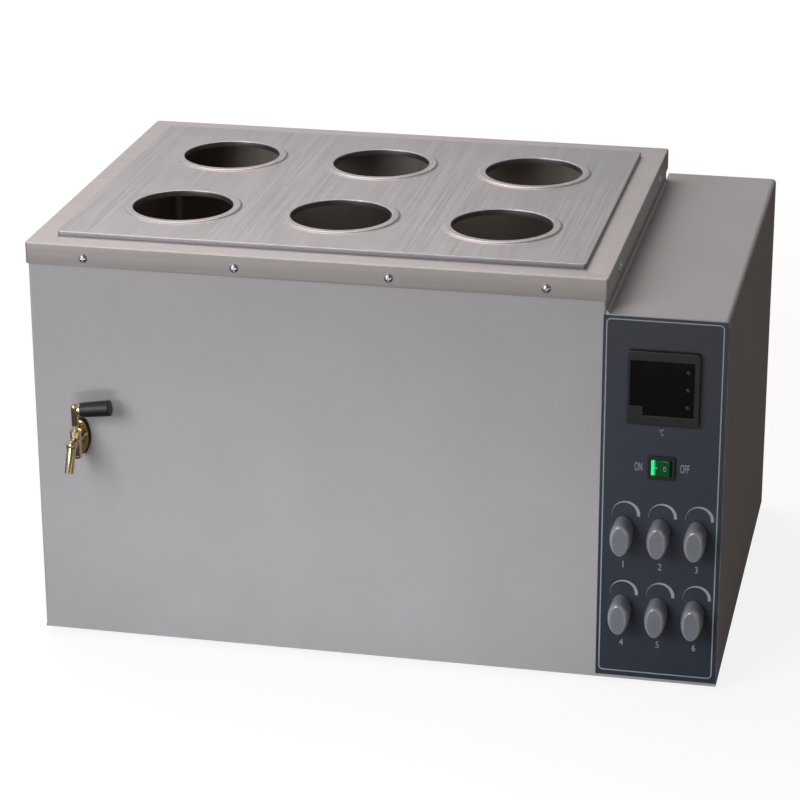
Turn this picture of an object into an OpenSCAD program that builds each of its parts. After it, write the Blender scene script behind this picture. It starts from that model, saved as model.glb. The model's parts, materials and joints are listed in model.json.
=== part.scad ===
// Six place magnetic stirring water bath: a painted cabinet round a stainless tank,
// a lift off lid with six vessel holes, six stirrer drives below, a control box and a drain tap.
// Millimetres, +X to the right, +Y to the back, +Z up, origin on the bench under the cabinet's middle.

/* [Cabinet] */
// Margin of the stainless rim past the tank at the front, the left and the right
rim_margin = 28; // [24:0.5:40]
// Margin of the stainless rim past the tank at the back
rear_margin = 37; // [28:0.5:50]
// Height of the cabinet from its underside to the top of the rim
cabinet_h = 360; // [345:1:400]
// How far the control box stands out past the rim's right edge
control_out = 100; // [99:1:125]
// Drop from the top of the rim to the top of the control box
control_drop = 30; // [26:1:44]
// How far the control box reaches behind the rim
control_back = 20; // [10:1:40]
// Thickness of the painted sheet
sheet_t = 1.2; // [0.8:0.1:1.6]
// Width of the inward folds of the painted sheet
fold_w = 14; // [12:1:17]
// Outside radius of the cabinet's upright front bends
corner_r = 2.5; // [2:0.5:4]
// Outside radius of the control cover's long bend
bend_r = 4; // [2.5:0.5:6]
// Thickness of the base plate
base_t = 1.6; // [1.2:0.1:2.5]
// Height of the rubber feet
foot_h = 6; // [5:0.5:12]
// Diameter of the rubber feet at the top
foot_d = 28; // [22:1:36]
// Distance of the foot centres from the cabinet's sides
foot_in = 45; // [36:1:60]

/* [Rim, tank and lid] */
// Height of the rim's skirt
rim_skirt = 18.8; // [16:0.1:22]
// Thickness of the rim
rim_t = 1.2; // [0.8:0.1:1.5]
// Gap between the rim's skirt and the cabinet
rim_gap = 0.3; // [0.2:0.1:0.6]
// How far the rim reaches over the tank's inside edge
rim_over = 2; // [1:0.5:3]
// Inside width of the tank
tank_w = 444; // [400:1:500]
// Inside length of the tank from front to back
tank_l = 330; // [300:1:370]
// Depth of the tank below the rim
tank_depth = 182; // [160:1:205]
// Thickness of the tank's sheet
tank_t = 1; // [0.8:0.1:1.5]
// Inside radius of the tank's upright corners
tank_corner = 6; // [3:0.5:6.5]
// How far the lid reaches past the tank's inside on every side
lid_over = 6; // [4:0.5:12]
// Height of the lid's turned down edge
lid_edge = 4.5; // [3.5:0.5:8]
// Thickness of the lid's sheet
lid_t = 1; // [0.8:0.1:1.5]
// Diameter of the vessel holes
hole_d = 88; // [80:1:92]
// Distance of the outer hole columns from the tank's side walls
hole_in_x = 80; // [74:0.5:86]
// Distance of the hole rows from the tank's front and rear walls
hole_in_y = 83.5; // [76:0.5:90]
// Width of the raised ring round each hole
ring_w = 7.5; // [5:0.5:9]
// Height of the raised ring
ring_rise = 1.4; // [1:0.1:2]
// Depth of the lip turned down inside each hole
lip_drop = 3.6; // [2.5:0.1:4.5]
// Height of the strips that locate the lid in the rim
locator_h = 9; // [6:0.5:14]
// Thickness of the locating strips
locator_t = 1.5; // [1:0.1:2]
// Side clearance of the locating strips in the rim
locator_gap = 1; // [0.5:0.1:2]

/* [Stirrer drives] */
// Diameter of the stirrer motors
motor_d = 58; // [48:1:66]
// Height of the stirrer motors
motor_h = 48; // [36:1:60]
// Diameter of the motor's front boss
boss_d = 16; // [14:1:20]
// Diameter of the magnet rotors
rotor_d = 60; // [54:1:70]
// Height of the magnet rotors
rotor_h = 12; // [10:1:16]
// Air gap between the rotors and the tank's underside
rotor_gap = 3.5; // [2:0.5:5]
// Diameter of the rotor magnets
magnet_d = 16; // [12:1:18]
// Height of the rotor magnets
magnet_h = 8; // [6:0.5:9]
// Distance between a rotor's two magnets
magnet_pitch = 36; // [32:1:38]
// Diameter of the motor spindles
spindle_d = 6; // [5:0.5:8]
// Radial running clearance of the spindles and the pot shafts
run_gap = 0.05; // [0.02:0.01:0.1]
// Height of the free space between the motor deck and the rotors
deck_gap = 14; // [10:1:18]
// Thickness of the motor deck
deck_t = 2; // [1.5:0.5:3]
// Diameter of the posts under the motor deck
post_d = 12; // [10:1:16]

/* [Heating and sensing] */
// Diameter of the heater tube
heater_d = 10; // [8:0.5:12]
// Bend radius of the heater tube
heater_bend = 24; // [18:1:30]
// Distance of the heater from the tank's walls
heater_in = 20; // [18:1:24]
// Height of the heater over the tank's floor
heater_lift = 15; // [12:1:20]
// Diameter of the temperature probe
probe_d = 6; // [4:0.5:8]
// Length of the probe inside the tank
probe_len = 60; // [40:1:90]
// Distance of the probe from the tank's rear wall
probe_in = 24; // [22:1:40]
// Height of the probe over the tank's floor
probe_lift = 36; // [32:1:60]

/* [Control panel] */
// Thickness of the printed panel overlay
overlay_t = 0.8; // [0.5:0.1:1.2]
// How far the overlay laps over the cabinet's front
overlay_lap = 2; // [1:0.5:3]
// Width of the temperature controller's bezel
bezel_w = 60; // [56:0.5:70]
// Height of the temperature controller's bezel
bezel_h = 64.5; // [62:0.5:70]
// Thickness of the controller's bezel
bezel_t = 4.5; // [4:0.5:6]
// Depth of the controller's case behind the panel
case_depth = 70; // [40:1:90]
// Drop from the control box's top to the controller's middle
controller_drop = 61; // [56:1:66]
// Drop from the control box's top to the switch's middle
switch_drop = 132; // [126:1:140]
// Drop from the control box's top to the upper row of knobs
knob_drop = 193.5; // [186:0.5:204]
// Distance between knob columns
knob_pitch_x = 31; // [31:0.2:33]
// Distance between knob rows
knob_pitch_z = 72.5; // [60:0.5:76]
// Length of a knob's oval base
knob_long = 30.4; // [26:0.2:30.6]
// Width of a knob's oval base
knob_wide = 19.4; // [18:0.2:22]
// Length of a knob's oval front face
face_long = 24.4; // [20:0.2:26]
// Width of a knob's oval front face
face_wide = 12.6; // [11:0.2:16]
// How far a knob stands out from the panel
knob_len = 20; // [16:0.5:24]
// Diameter of the pot shafts
shaft_d = 6; // [5:0.5:6.5]
// Width of the power switch's frame
switch_w = 23; // [22.5:0.5:28]
// Height of the power switch's frame
switch_h = 20.4; // [19.8:0.2:24]
// Width of the rocker
rocker_w = 15.6; // [14:0.2:16]
// Height of the rocker
rocker_h = 13.6; // [12:0.2:14]
// Tilt of the rocker each way from level
rocker_tilt = 8; // [6:1:9]
// Diameter of the controller's keys
key_d = 4.4; // [3.6:0.2:5]
// Distance between the controller's keys
key_pitch = 15.5; // [12:0.5:16]

/* [Drain tap] */
// Distance of the tap from the tank's left wall
tap_in = 15.5; // [15:0.5:40]
// Height of the tap over the tank's floor
tap_lift = 10; // [9:0.5:16]
// Width of the tap's oval wall flange
tap_flange_w = 13.4; // [13:0.1:18]
// Height of the tap's oval wall flange
tap_flange_h = 31; // [28:0.5:38]
// Diameter of the tap's threaded tail
tap_tail_d = 12; // [10:0.5:13]
// Diameter of the tap's plug
plug_d = 6; // [5.6:0.1:7]
// Distance of the plug from the gasket's front
plug_out = 15.5; // [15:0.5:20]
// Distance from the plug to the spout's elbow
elbow_out = 11.5; // [10:0.5:14]
// Diameter of the spout
spout_d = 7.8; // [7:0.1:9]
// Length of the spout below the elbow
spout_len = 24.5; // [20:0.5:32]
// Lean of the spout out from the wall
spout_lean = 25; // [10:1:35]
// Height of the lever over the tap's middle
lever_up = 29.5; // [28:0.5:36]
// Upward tilt of the lever
lever_tilt = 8; // [0:1:12]
// Length of the black grip
grip_len = 26; // [22:1:40]
// Diameter of the grip at its outer end
grip_d = 14; // [12:0.2:16]

/* [Hidden] */
$fn = 64;

// Colours
paint = [0.64, 0.64, 0.66];
steel = [0.74, 0.73, 0.72];
zinc = [0.62, 0.66, 0.7];
brass = [0.72, 0.58, 0.3];
black = [0.06, 0.06, 0.07];
panel_blue = [0.2, 0.24, 0.3];
knob_grey = [0.5, 0.5, 0.54];
wool = [0.86, 0.82, 0.66];
green = [0.05, 0.6, 0.25];
board_green = [0.1, 0.35, 0.2];

// Small clearances and cuts
cut = 1;
slip = 0.05;
side_gap = 0.3;
screw_r = 2;
screw_hole_r = 2.15;
head_r = 4;
head_h = 2.4;
set_in = 1;
nut_across = 7;
nut_h = 3.2;

// Screws of the rear sheet and the base plate
rear_screw_len = 6;
rear_screw_low = 40;
rear_screw_high = 25;
base_screw_len = 7;
post_screw_in = 10;
foot_screw_over = 5;

// Air slots
vent_l = 60;
vent_h = 5;
vent_pitch_x = 90;
vent_pitch_z = 16;
vent_low = 36;

// Outer box of the rim, the cabinet and the control box
fold_mid = sheet_t + fold_w / 2;
rim_w = tank_w + 2 * rim_margin;
rim_d = tank_l + rim_margin + rear_margin;
total_w = rim_w + control_out;
rim_x0 = -total_w / 2;
rim_x1 = rim_x0 + rim_w;
rim_y0 = -rim_d / 2;
rim_y1 = rim_d / 2;
lap = rim_t + rim_gap;
house_x0 = rim_x0 + lap;
house_x1 = rim_x1 - lap;
house_y0 = rim_y0 + lap;
house_y1 = rim_y1 - lap;
wrap_y1 = house_y1 - sheet_t;
control_x1 = total_w / 2;
control_y1 = rim_y1 + control_back;
bath_x = (rim_x0 + rim_x1) / 2;
bath_y = (rim_margin - rear_margin) / 2;

// Heights
plate_top = foot_h + base_t;
rim_z = foot_h + cabinet_h;
rim_under = rim_z - rim_t;
house_top = rim_under - tank_t;
control_z = rim_z - control_drop;
tank_floor = rim_under - tank_depth;
tank_under = tank_floor - tank_t;
lid_top = rim_z + lid_edge;
lid_under = lid_top - lid_t;
rotor_top = tank_under - rotor_gap;
rotor_bottom = rotor_top - rotor_h;
deck_top = rotor_bottom - deck_gap;
deck_bottom = deck_top - deck_t;

// Inside faces of the tank
tank_x0 = bath_x - tank_w / 2;
tank_x1 = bath_x + tank_w / 2;
tank_y0 = bath_y - tank_l / 2;
tank_y1 = bath_y + tank_l / 2;

// Lid over the tank
lid_w = tank_w + 2 * lid_over;
lid_l = tank_l + 2 * lid_over;
locator_corner = tank_corner + 10;

// Vessel places, counted from the front left, with a drive under each
COLUMNS = [-1, 0, 1];
ROWS = [-0.5, 0.5];
hole_pitch_x = (tank_w - 2 * hole_in_x) / 2;
hole_pitch_y = tank_l - 2 * hole_in_y;
station = [for (row = ROWS) for (col = COLUMNS)
    [bath_x + col * hole_pitch_x, bath_y + row * hole_pitch_y]];
hole_r = hole_d / 2;
lip_r = 1;

// Taper of the feet and the counterbore in them
foot_taper = 4;
foot_bore = 5.2;

// Insulation between the cabinet and the tank
wool_gap = 0.5;
wool_x0 = house_x0 + sheet_t + wool_gap;
wool_x1 = house_x1 - sheet_t - wool_gap;
wool_y0 = house_y0 + sheet_t + wool_gap;
wool_y1 = wrap_y1 - sheet_t - rear_screw_len;
wool_drop = 4;
wool_top = rim_z - rim_skirt - wool_drop;
wool_hole_gap = 3;

// Screws through the rim's skirt
rim_screw_z = rim_z - rim_skirt * 0.6;
rim_screw_len = 8;
rim_screw_pitch_x = rim_w * 0.265;
rim_screw_pitch_y = rim_d * 0.66;

// Heater, probe and wiring through the right hand walls
heater_r = heater_d / 2;
heater_z = tank_floor + heater_lift;
heater_y0 = tank_y0 + heater_in;
heater_y1 = tank_y1 - heater_in;
heater_x0 = tank_x0 + heater_in;
lead_out = 12;
lead_x1 = house_x1 + lead_out;
gland_t = 5;
gland_over = 3.5;
probe_r = probe_d / 2;
probe_y = tank_y1 - probe_in;
probe_z = tank_floor + probe_lift;
wall_hole_gap = 3;
loom_r = 4;
branch_r = 2;
loom_y = bath_y;
grommet_wall = 5;
grommet_r = loom_r + grommet_wall;
grommet_lip = 1.5;
grommet_over = 2;
loom_gap = 4;
loom_z = deck_bottom - grommet_r - loom_gap;

// Motors and their deck
motor_r = motor_d / 2;
motor_screw_r = 1.5;
motor_screw_in = 7;
motor_screw_ring = motor_r - motor_screw_in;
motor_screw_len = 6;
motor_hole_depth = 8;
motor_head_r = 2.8;
motor_head_h = 1.8;
boss_rise = 0.5;
rotor_cap = 2;
post_in = 17.5;
post_gap = 14.5;
post_spread_x = tank_w / 2 - post_in;
post_spread_y = hole_pitch_y / 2 + motor_r + post_gap;
stud_r = 3;
stud_over = 7;
stud_nut_across = 10;
stud_nut_h = 5;

// Control box and its panel
panel_side = 0.5;
panel_low = 1.4;
panel_high = 1;
panel_x0 = house_x1 - overlay_lap;
panel_x1 = control_x1 - panel_side;
panel_z0 = plate_top + panel_low;
panel_z1 = control_z - panel_high;
panel_x = (panel_x0 + panel_x1) / 2;
front_y = house_y0;
front_back = front_y + sheet_t;
face_y = front_y - overlay_t;
rear_lap = 16;
control_screw_low = 30;
control_screw_high = 50;
controller_z = control_z - controller_drop;
switch_z = control_z - switch_drop;
knob_z1 = control_z - knob_drop;
knob_place = [for (row = [0, 1]) for (col = COLUMNS)
    [panel_x + col * knob_pitch_x, knob_z1 - row * knob_pitch_z]];

// Temperature controller: the window lies in a pocket of the bezel, with a step at its lower left
bezel_r = 3;
bezel_over = 3.5;
case_w = bezel_w - 2 * bezel_over;
case_h = bezel_h - 2 * bezel_over;
clamp_t = 4;
clamp_over = 5;
window_left = 2.5;
window_right = 4.5;
window_upright = 8.5;
window_x0 = panel_x - bezel_w / 2 + window_left;
window_x1 = panel_x + bezel_w / 2 - window_right;
window_z0 = controller_z - bezel_h / 2 + window_upright;
window_z1 = controller_z + bezel_h / 2 - window_upright;
step_w = 11;
step_h = 8;
window_sink = 1.2;
window_t = 1.5;
window_y = face_y - bezel_t + window_sink;
pocket_y1 = window_y + window_t;
ledge = 1.5;
key_in = 5;
key_x = window_x1 - key_in;
key_r = key_d / 2;
key_out = 0.7;
key_travel = 0.6;
key_flange = 0.8;
key_lip = 1;
key_room = 1.2;
key_hollow = pocket_y1 + key_flange + key_travel + key_room;

// Power switch: the rocker turns on an upright pin
switch_lip_x = 1;
switch_lip_z = 1.3;
switch_cut_w = switch_w - 2 * switch_lip_x;
switch_cut_h = switch_h - 2 * switch_lip_z;
switch_corner = 1.5;
frame_t = 2.2;
switch_depth = 22;
pivot_in = 3;
pivot_y = face_y + pivot_in;
rocker_reach = 6.2;
rocker_dip = 1.3;
rocker_cheek = 1;
rocker_back = 3;
well_gap_x = 1.2;
well_gap_z = 0.4;
well_w = rocker_w + 2 * well_gap_x;
well_h = rocker_h + 2 * well_gap_z;
well_depth = 6;
pin_r = 1;
pin_over = 1.2;
pin_play = 0.2;

// Speed pots and knobs
bush_wall = 1.2;
bush_r = shaft_d / 2 + bush_wall;
bush_out = 5;
pot_r = 8.5;
pot_depth = 10;
pot_nut_r = 6;
pot_nut_t = 2;
knob_lift = 0.6;
knob_hollow = 6;
knob_nut_gap = 0.8;
knob_cap = 5;
shaft_out = knob_len - knob_cap;
shaft_in = 6;
shaft_end_gap = 0.5;

// Boards
board_gap = 8;
board_t = 1.6;
board_x = house_x1 + board_gap;
board_y = 30;
board_l = 150;
board_up = 52;
board_over = 20;
board_z0 = plate_top + board_up;
board_h = deck_bottom - board_z0 + board_over;
board_hole_r = 1.6;
standoff_in = 8;
standoff_across = 8;
standoff_pin_r = 1.5;
standoff_pin_over = 3;
transformer = [36, 40, 48];
heat_sink = [26, board_l * 0.44, 10];
terminals = [12, 12, board_h * 0.43];
capacitor_r = 8;
capacitor_h = 26;
capacitor_pitch = 20;

// Power inlet on the rear of the control box
inlet_x = (house_x1 + control_x1) / 2;
inlet_up = 52;
inlet_z = plate_top + inlet_up;
inlet_w = 48;
inlet_h = 24;
inlet_corner = 5;
inlet_flange = 2.5;
inlet_body_w = 30;
inlet_body_h = 21;
inlet_depth = 20;
socket_w = 25;
socket_h = 17;
socket_depth = 16;
socket_floor = socket_depth - inlet_flange;
inlet_screw_pitch = 40;
inlet_screw_r = 1.6;
inlet_head_r = 3;
inlet_head_h = 1.8;
inlet_vent_shift = 4;
blade_t = 2;
blade_w = 4;
blade_l = 12;
tab_l = 8;
blade_place = [[-7, -1.5], [0, 3], [7, -1.5]];

// Drain tap
tap_x = tank_x0 + tap_in;
tap_z = tank_floor + tap_lift;
gasket_t = 2.5;
gasket_over = 1.3;
tap_flange_t = 3.5;
tap_face = front_y - gasket_t;
plug_y = tap_face - plug_out;
elbow_y = plug_y - elbow_out;
elbow_up = 1.5;
elbow_over = 1;
elbow_r = spout_d / 2 + elbow_over;
elbow_neck_r = elbow_r - 0.7;
plug_wall = 1.9;
plug_case_r = plug_d / 2 + plug_wall;
plug_case_h = 11;
barrel_r = plug_case_r - 0.5;
tap_bore_r = plug_d * 0.35;
spout_wall = 1.3;
spout_bore_r = spout_d / 2 - spout_wall;
spout_bore_up = tap_bore_r + 0.3;
tail_in = 10;
tail_y1 = tank_y0 + tail_in;
washer_t = 2;
washer_over = 1.8;
tap_nut_t = 6;
tap_nut_across = tap_tail_d + 2.4;
stem_r = plug_d * 0.4;
keeper_h = 2.4;
keeper_r = plug_d / 2 + 1.6;
hub_r = stem_r + 0.8;
hub_top = 6;
hub_drop = 14;
arm_r = hub_r - 0.8;
collar_out = hub_r + 1.1;
collar_t = 2;
collar_r = grip_d / 2 - 0.8;
grip_taper = 1.4;
grip_bore = grip_len * 0.8;

// A block between two opposite corners
module block(low, high) {
    translate(low) cube(high - low);
}

// A centred rectangle with round corners
module round_rect(w, l, r) {
    square([w - 2 * r, l], center = true);
    square([w, l - 2 * r], center = true);
    for (x = [-1, 1]) for (y = [-1, 1]) translate([x * (w / 2 - r), y * (l / 2 - r)]) circle(r);
}

// An upright oval of four arcs that run smoothly into each other
module oval(wide, tall) {
    end_r = wide * 0.3;
    end_y = tall / 2 - end_r;
    side_r = (end_y * end_y + wide * wide / 4 - end_r * end_r) / (wide - 2 * end_r);
    meet_y = end_y * side_r / (side_r - end_r);
    for (y = [-end_y, end_y]) translate([0, y]) circle(end_r);
    intersection() {
        translate([wide / 2 - side_r, 0]) circle(side_r);
        translate([side_r - wide / 2, 0]) circle(side_r);
        square([wide, 2 * meet_y], center = true);
    }
}

// A rectangle between two corners with only its front corners round
module front_round(x0, y0, x1, y1, r) {
    translate([x0 + r, y0]) square([x1 - x0 - 2 * r, y1 - y0]);
    translate([x0, y0 + r]) square([x1 - x0, y1 - y0 - r]);
    for (x = [x0 + r, x1 - r]) translate([x, y0 + r]) circle(r);
}

// A pan head screw with its head above the plane and its shank below, with a cross recess
module pan_screw(length, shank_r = screw_r, cap_r = head_r, cap_h = head_h) {
    dome_r = (cap_r * cap_r + cap_h * cap_h) / (2 * cap_h);
    slot_w = cap_r * 0.24;
    slot_l = cap_r * 1.1;
    translate([0, 0, -length]) cylinder(r = shank_r, h = length);
    difference() {
        rotate_extrude() intersection() {
            square([cap_r, cap_h]);
            translate([0, cap_h - dome_r]) circle(dome_r);
        }
        for (turn = [0, 90]) rotate(turn)
            translate([-slot_l / 2, -slot_w / 2, cap_h * 0.5]) cube([slot_l, slot_w, cap_h]);
    }
}

// A hexagon nut standing on the plane
module hex_nut(bore_r, across, height) {
    difference() {
        cylinder(d = across / cos(30), h = height, $fn = 6);
        translate([0, 0, -cut]) cylinder(r = bore_r, h = height + 2 * cut);
    }
}

// A ball turned from a half circle
module ball(r) {
    rotate_extrude() intersection() {
        circle(r);
        translate([0, -r]) square([r, 2 * r]);
    }
}

// A slot with round ends, cut upright through a flat plate
module slot_cut(length, width, height) {
    translate([-(length - width) / 2, -width / 2, 0]) cube([length - width, width, height]);
    for (x = [-1, 1]) translate([x * (length - width) / 2, 0, 0]) cylinder(d = width, h = height);
}

// Places of the rim's screws, each with its head pointing outwards
module rim_screw_places() {
    for (i = [-1.5, -0.5, 0.5, 1.5]) {
        translate([bath_x + i * rim_screw_pitch_x, rim_y0, rim_screw_z]) rotate([90, 0, 0]) children();
        translate([bath_x + i * rim_screw_pitch_x, rim_y1, rim_screw_z]) rotate([-90, 0, 0]) children();
    }
    for (y = [-0.5, 0.5]) {
        translate([rim_x0, y * rim_screw_pitch_y, rim_screw_z]) rotate([0, -90, 0]) children();
        translate([rim_x1, y * rim_screw_pitch_y, rim_screw_z]) rotate([0, 90, 0]) children();
    }
}

module rim_screw_cut() {
    translate([0, 0, -rim_screw_len - cut]) cylinder(r = screw_hole_r, h = rim_screw_len + 2 * cut);
}

// Places of the rear panel's screws
module rear_screw_places() {
    top_z = rim_z - rim_skirt - rear_screw_high;
    for (x = [house_x0 + fold_mid, house_x1 - fold_mid])
        for (z = [plate_top + rear_screw_low, (plate_top + house_top) / 2, top_z])
            translate([x, house_y1, z]) rotate([-90, 0, 0]) children();
}

module rear_screw_cut() {
    translate([0, 0, -rear_screw_len - cut]) cylinder(r = screw_hole_r, h = rear_screw_len + 2 * cut);
}

// Places of the screws that come up through the base plate into the folds, their heads below
module base_screw_places() {
    for (i = [-1, 1])
        translate([bath_x + i * rim_w * 0.2, house_y0 + fold_mid, foot_h]) rotate([180, 0, 0]) children();
    for (x = [house_x0 + fold_mid, house_x1 - fold_mid, control_x1 - fold_mid])
        for (i = [-1, 1]) translate([x, i * rim_d * 0.2, foot_h]) rotate([180, 0, 0]) children();
}

module base_screw_cut() {
    translate([0, 0, -base_screw_len - cut]) cylinder(r = screw_hole_r, h = base_screw_len + 2 * cut);
}

module foot_places() {
    for (x = [house_x0 + foot_in, control_x1 - foot_in])
        for (y = [house_y0 + foot_in, house_y1 - foot_in]) translate([x, y, 0]) children();
}

module post_places() {
    for (col = COLUMNS) for (i = [-1, 1])
        translate([bath_x + col * post_spread_x, bath_y + i * post_spread_y, 0]) children();
}

// Places where the heater's two ends and the probe pass through the right hand walls
module heater_ends() {
    for (y = [heater_y0, heater_y1]) translate([0, y, heater_z]) rotate([0, 90, 0]) children();
}

module probe_line() {
    translate([0, probe_y, probe_z]) rotate([0, 90, 0]) children();
}

// Bolts of one motor
module motor_screw_places() {
    for (turn = [90, 210, 330]) rotate(turn) translate([motor_screw_ring, 0, 0]) children();
}

// Cabinet sheet: front and both sides folded from one piece
module housing_wrap() {
    fold_y1 = wrap_y1 - sheet_t;
    color(paint) difference() {
        union() {
            translate([0, 0, plate_top]) linear_extrude(house_top - plate_top) {
                difference() {
                    front_round(house_x0, house_y0, house_x1, wrap_y1, corner_r);
                    front_round(house_x0 + sheet_t, house_y0 + sheet_t, house_x1 - sheet_t,
                        wrap_y1 + cut, corner_r - sheet_t);
                }
                for (x = [house_x0, house_x1 - sheet_t - fold_w])
                    translate([x, fold_y1]) square([sheet_t + fold_w, sheet_t]);
            }
            for (z = [plate_top, house_top - sheet_t]) translate([0, 0, z]) linear_extrude(sheet_t)
                difference() {
                    front_round(house_x0, house_y0, house_x1, wrap_y1, corner_r);
                    translate([house_x0 + sheet_t + fold_w, house_y0 + sheet_t + fold_w])
                        square([house_x1 - house_x0 - 2 * (sheet_t + fold_w), rim_d]);
                }
        }
        rim_screw_places() rim_screw_cut();
        rear_screw_places() rear_screw_cut();
        base_screw_places() base_screw_cut();
        translate([tap_x, house_y0 - cut, tap_z]) rotate([-90, 0, 0])
            cylinder(r = tap_tail_d / 2 + side_gap, h = sheet_t + 2 * cut);
        translate([house_x1 - sheet_t - cut, 0, 0]) {
            heater_ends() cylinder(r = heater_r + wall_hole_gap, h = sheet_t + 2 * cut);
            probe_line() cylinder(r = probe_r + wall_hole_gap, h = sheet_t + 2 * cut);
            translate([0, loom_y, loom_z]) rotate([0, 90, 0])
                cylinder(r = grommet_r, h = sheet_t + 2 * cut);
        }
    }
}

// Rear sheet with a fold at the top under the tank's flange and vents beside the motors
module rear_panel() {
    top_in = sheet_t + fold_w + side_gap;
    color(paint) difference() {
        union() {
            block([house_x0, wrap_y1, plate_top], [house_x1, house_y1, house_top]);
            block([house_x0 + top_in, wrap_y1 - fold_w, house_top - sheet_t],
                [house_x1 - top_in, wrap_y1 + sheet_t / 2, house_top]);
        }
        rim_screw_places() rim_screw_cut();
        rear_screw_places() rear_screw_cut();
        for (i = [-1.5, -0.5, 0.5, 1.5]) for (j = [0 : 3])
            translate([bath_x + i * vent_pitch_x, house_y1 + cut, plate_top + vent_low + j * vent_pitch_z])
                rotate([90, 0, 0]) slot_cut(vent_l, vent_h, sheet_t + 2 * cut);
    }
}

module rear_screws() {
    color(zinc) rear_screw_places() pan_screw(rear_screw_len);
}

// Base plate under the cabinet and the control box, with air slots between the motors
module base_plate() {
    color(paint) difference() {
        union() {
            block([house_x0, house_y0, foot_h], [house_x1, house_y1, plate_top]);
            block([house_x1 - cut, house_y0, foot_h], [control_x1, control_y1, plate_top]);
        }
        base_screw_places() base_screw_cut();
        foot_places() cylinder(r = screw_hole_r, h = 3 * foot_h);
        post_places() cylinder(r = screw_hole_r, h = 3 * foot_h);
        for (col = [-0.5, 0.5]) for (j = [-3 : 3])
            translate([bath_x + col * hole_pitch_x, bath_y + j * vent_pitch_z, foot_h - cut])
                slot_cut(vent_l, vent_h, base_t + 2 * cut);
    }
}

// Screws of the folds, the posts and the feet, and the nuts of the feet
module base_fixings() {
    color(zinc) {
        base_screw_places() pan_screw(base_screw_len);
        post_places() translate([0, 0, foot_h]) rotate([180, 0, 0]) pan_screw(base_t + post_screw_in);
        foot_places() {
            translate([0, 0, foot_h / 2]) rotate([180, 0, 0])
                pan_screw(foot_h / 2 + base_t + foot_screw_over);
            translate([0, 0, plate_top]) hex_nut(screw_r + slip, nut_across, nut_h);
        }
    }
}

module feet() {
    color(black) foot_places() difference() {
        cylinder(d1 = foot_d - foot_taper, d2 = foot_d, h = foot_h);
        translate([0, 0, -cut]) cylinder(r = screw_hole_r, h = foot_h + 2 * cut);
        translate([0, 0, -cut]) cylinder(r = foot_bore, h = foot_h / 2 + cut);
    }
}

// Stainless frame over the tank's flange, with a skirt outside the cabinet
module rim_frame() {
    color(steel) difference() {
        block([rim_x0, rim_y0, rim_z - rim_skirt], [rim_x1, rim_y1, rim_z]);
        block([rim_x0 + rim_t, rim_y0 + rim_t, rim_z - rim_skirt - cut],
            [rim_x1 - rim_t, rim_y1 - rim_t, rim_under]);
        translate([bath_x, bath_y, rim_under - cut]) linear_extrude(rim_t + 2 * cut)
            round_rect(tank_w - 2 * rim_over, tank_l - 2 * rim_over, tank_corner - rim_over);
        rim_screw_places() rim_screw_cut();
    }
}

module rim_screws() {
    color(zinc) rim_screw_places() pan_screw(rim_screw_len);
}

// Stainless tank hung by its flange between the rim and the cabinet's top folds
module tank() {
    flange_in = 1;
    color(steel) difference() {
        union() {
            translate([bath_x, bath_y, tank_under]) linear_extrude(rim_under - tank_under)
                round_rect(tank_w + 2 * tank_t, tank_l + 2 * tank_t, tank_corner + tank_t);
            block([house_x0 + flange_in, house_y0 + flange_in, house_top],
                [house_x1 - flange_in, house_y1 - flange_in, rim_under]);
        }
        translate([bath_x, bath_y, tank_floor]) linear_extrude(tank_depth + cut)
            round_rect(tank_w, tank_l, tank_corner);
        translate([tap_x, tank_y0 - tank_t - cut, tap_z]) rotate([-90, 0, 0])
            cylinder(r = tap_tail_d / 2 + side_gap, h = tank_t + 2 * cut);
        translate([tank_x1 - cut, 0, 0]) {
            heater_ends() cylinder(r = heater_r + side_gap, h = tank_t + 2 * cut);
            probe_line() cylinder(r = probe_r + side_gap, h = tank_t + 2 * cut);
        }
    }
}

// Mineral wool blanket round the tank, standing on the motor deck
module insulation() {
    color(wool) difference() {
        block([wool_x0, wool_y0, deck_top], [wool_x1, wool_y1, wool_top]);
        translate([bath_x, bath_y, deck_top - cut]) linear_extrude(wool_top - deck_top + 2 * cut)
            round_rect(tank_w + 2 * (tank_t + wool_gap), tank_l + 2 * (tank_t + wool_gap),
                tank_corner + tank_t + wool_gap);
        translate([tap_x, wool_y0 - cut, tap_z]) rotate([-90, 0, 0])
            cylinder(r = tap_tail_d / 2 + wool_gap, h = tank_y0 - wool_y0 + 2 * cut);
        translate([tank_x1, 0, 0]) {
            heater_ends() cylinder(r = heater_r + gland_over + wool_hole_gap, h = house_x1 - tank_x1);
            probe_line() cylinder(r = probe_r + gland_over + wool_hole_gap, h = house_x1 - tank_x1);
        }
    }
}

// Tubular heater: one long U along the tank's front, left and rear walls
module heater() {
    bend_x = heater_x0 + heater_bend;
    color(steel) {
        for (y = [heater_y0, heater_y1]) translate([bend_x, y, heater_z]) rotate([0, 90, 0])
            cylinder(r = heater_r, h = lead_x1 - bend_x);
        translate([heater_x0, heater_y0 + heater_bend, heater_z]) rotate([-90, 0, 0])
            cylinder(r = heater_r, h = heater_y1 - heater_y0 - 2 * heater_bend);
        translate([bend_x, heater_y0 + heater_bend, heater_z]) rotate(180) rotate_extrude(angle = 90)
            translate([heater_bend, 0]) circle(heater_r);
        translate([bend_x, heater_y1 - heater_bend, heater_z]) rotate(90) rotate_extrude(angle = 90)
            translate([heater_bend, 0]) circle(heater_r);
    }
}

// Gland nuts that clamp the heater and the probe to the tank, one inside and one outside
module wall_glands() {
    color(zinc) for (x = [tank_x1 - gland_t, tank_x1 + tank_t]) translate([x, 0, 0]) {
        heater_ends() hex_nut(heater_r + slip, heater_d + 2 * gland_over, gland_t);
        probe_line() hex_nut(probe_r + slip, probe_d + 2 * gland_over, gland_t);
    }
}

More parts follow.
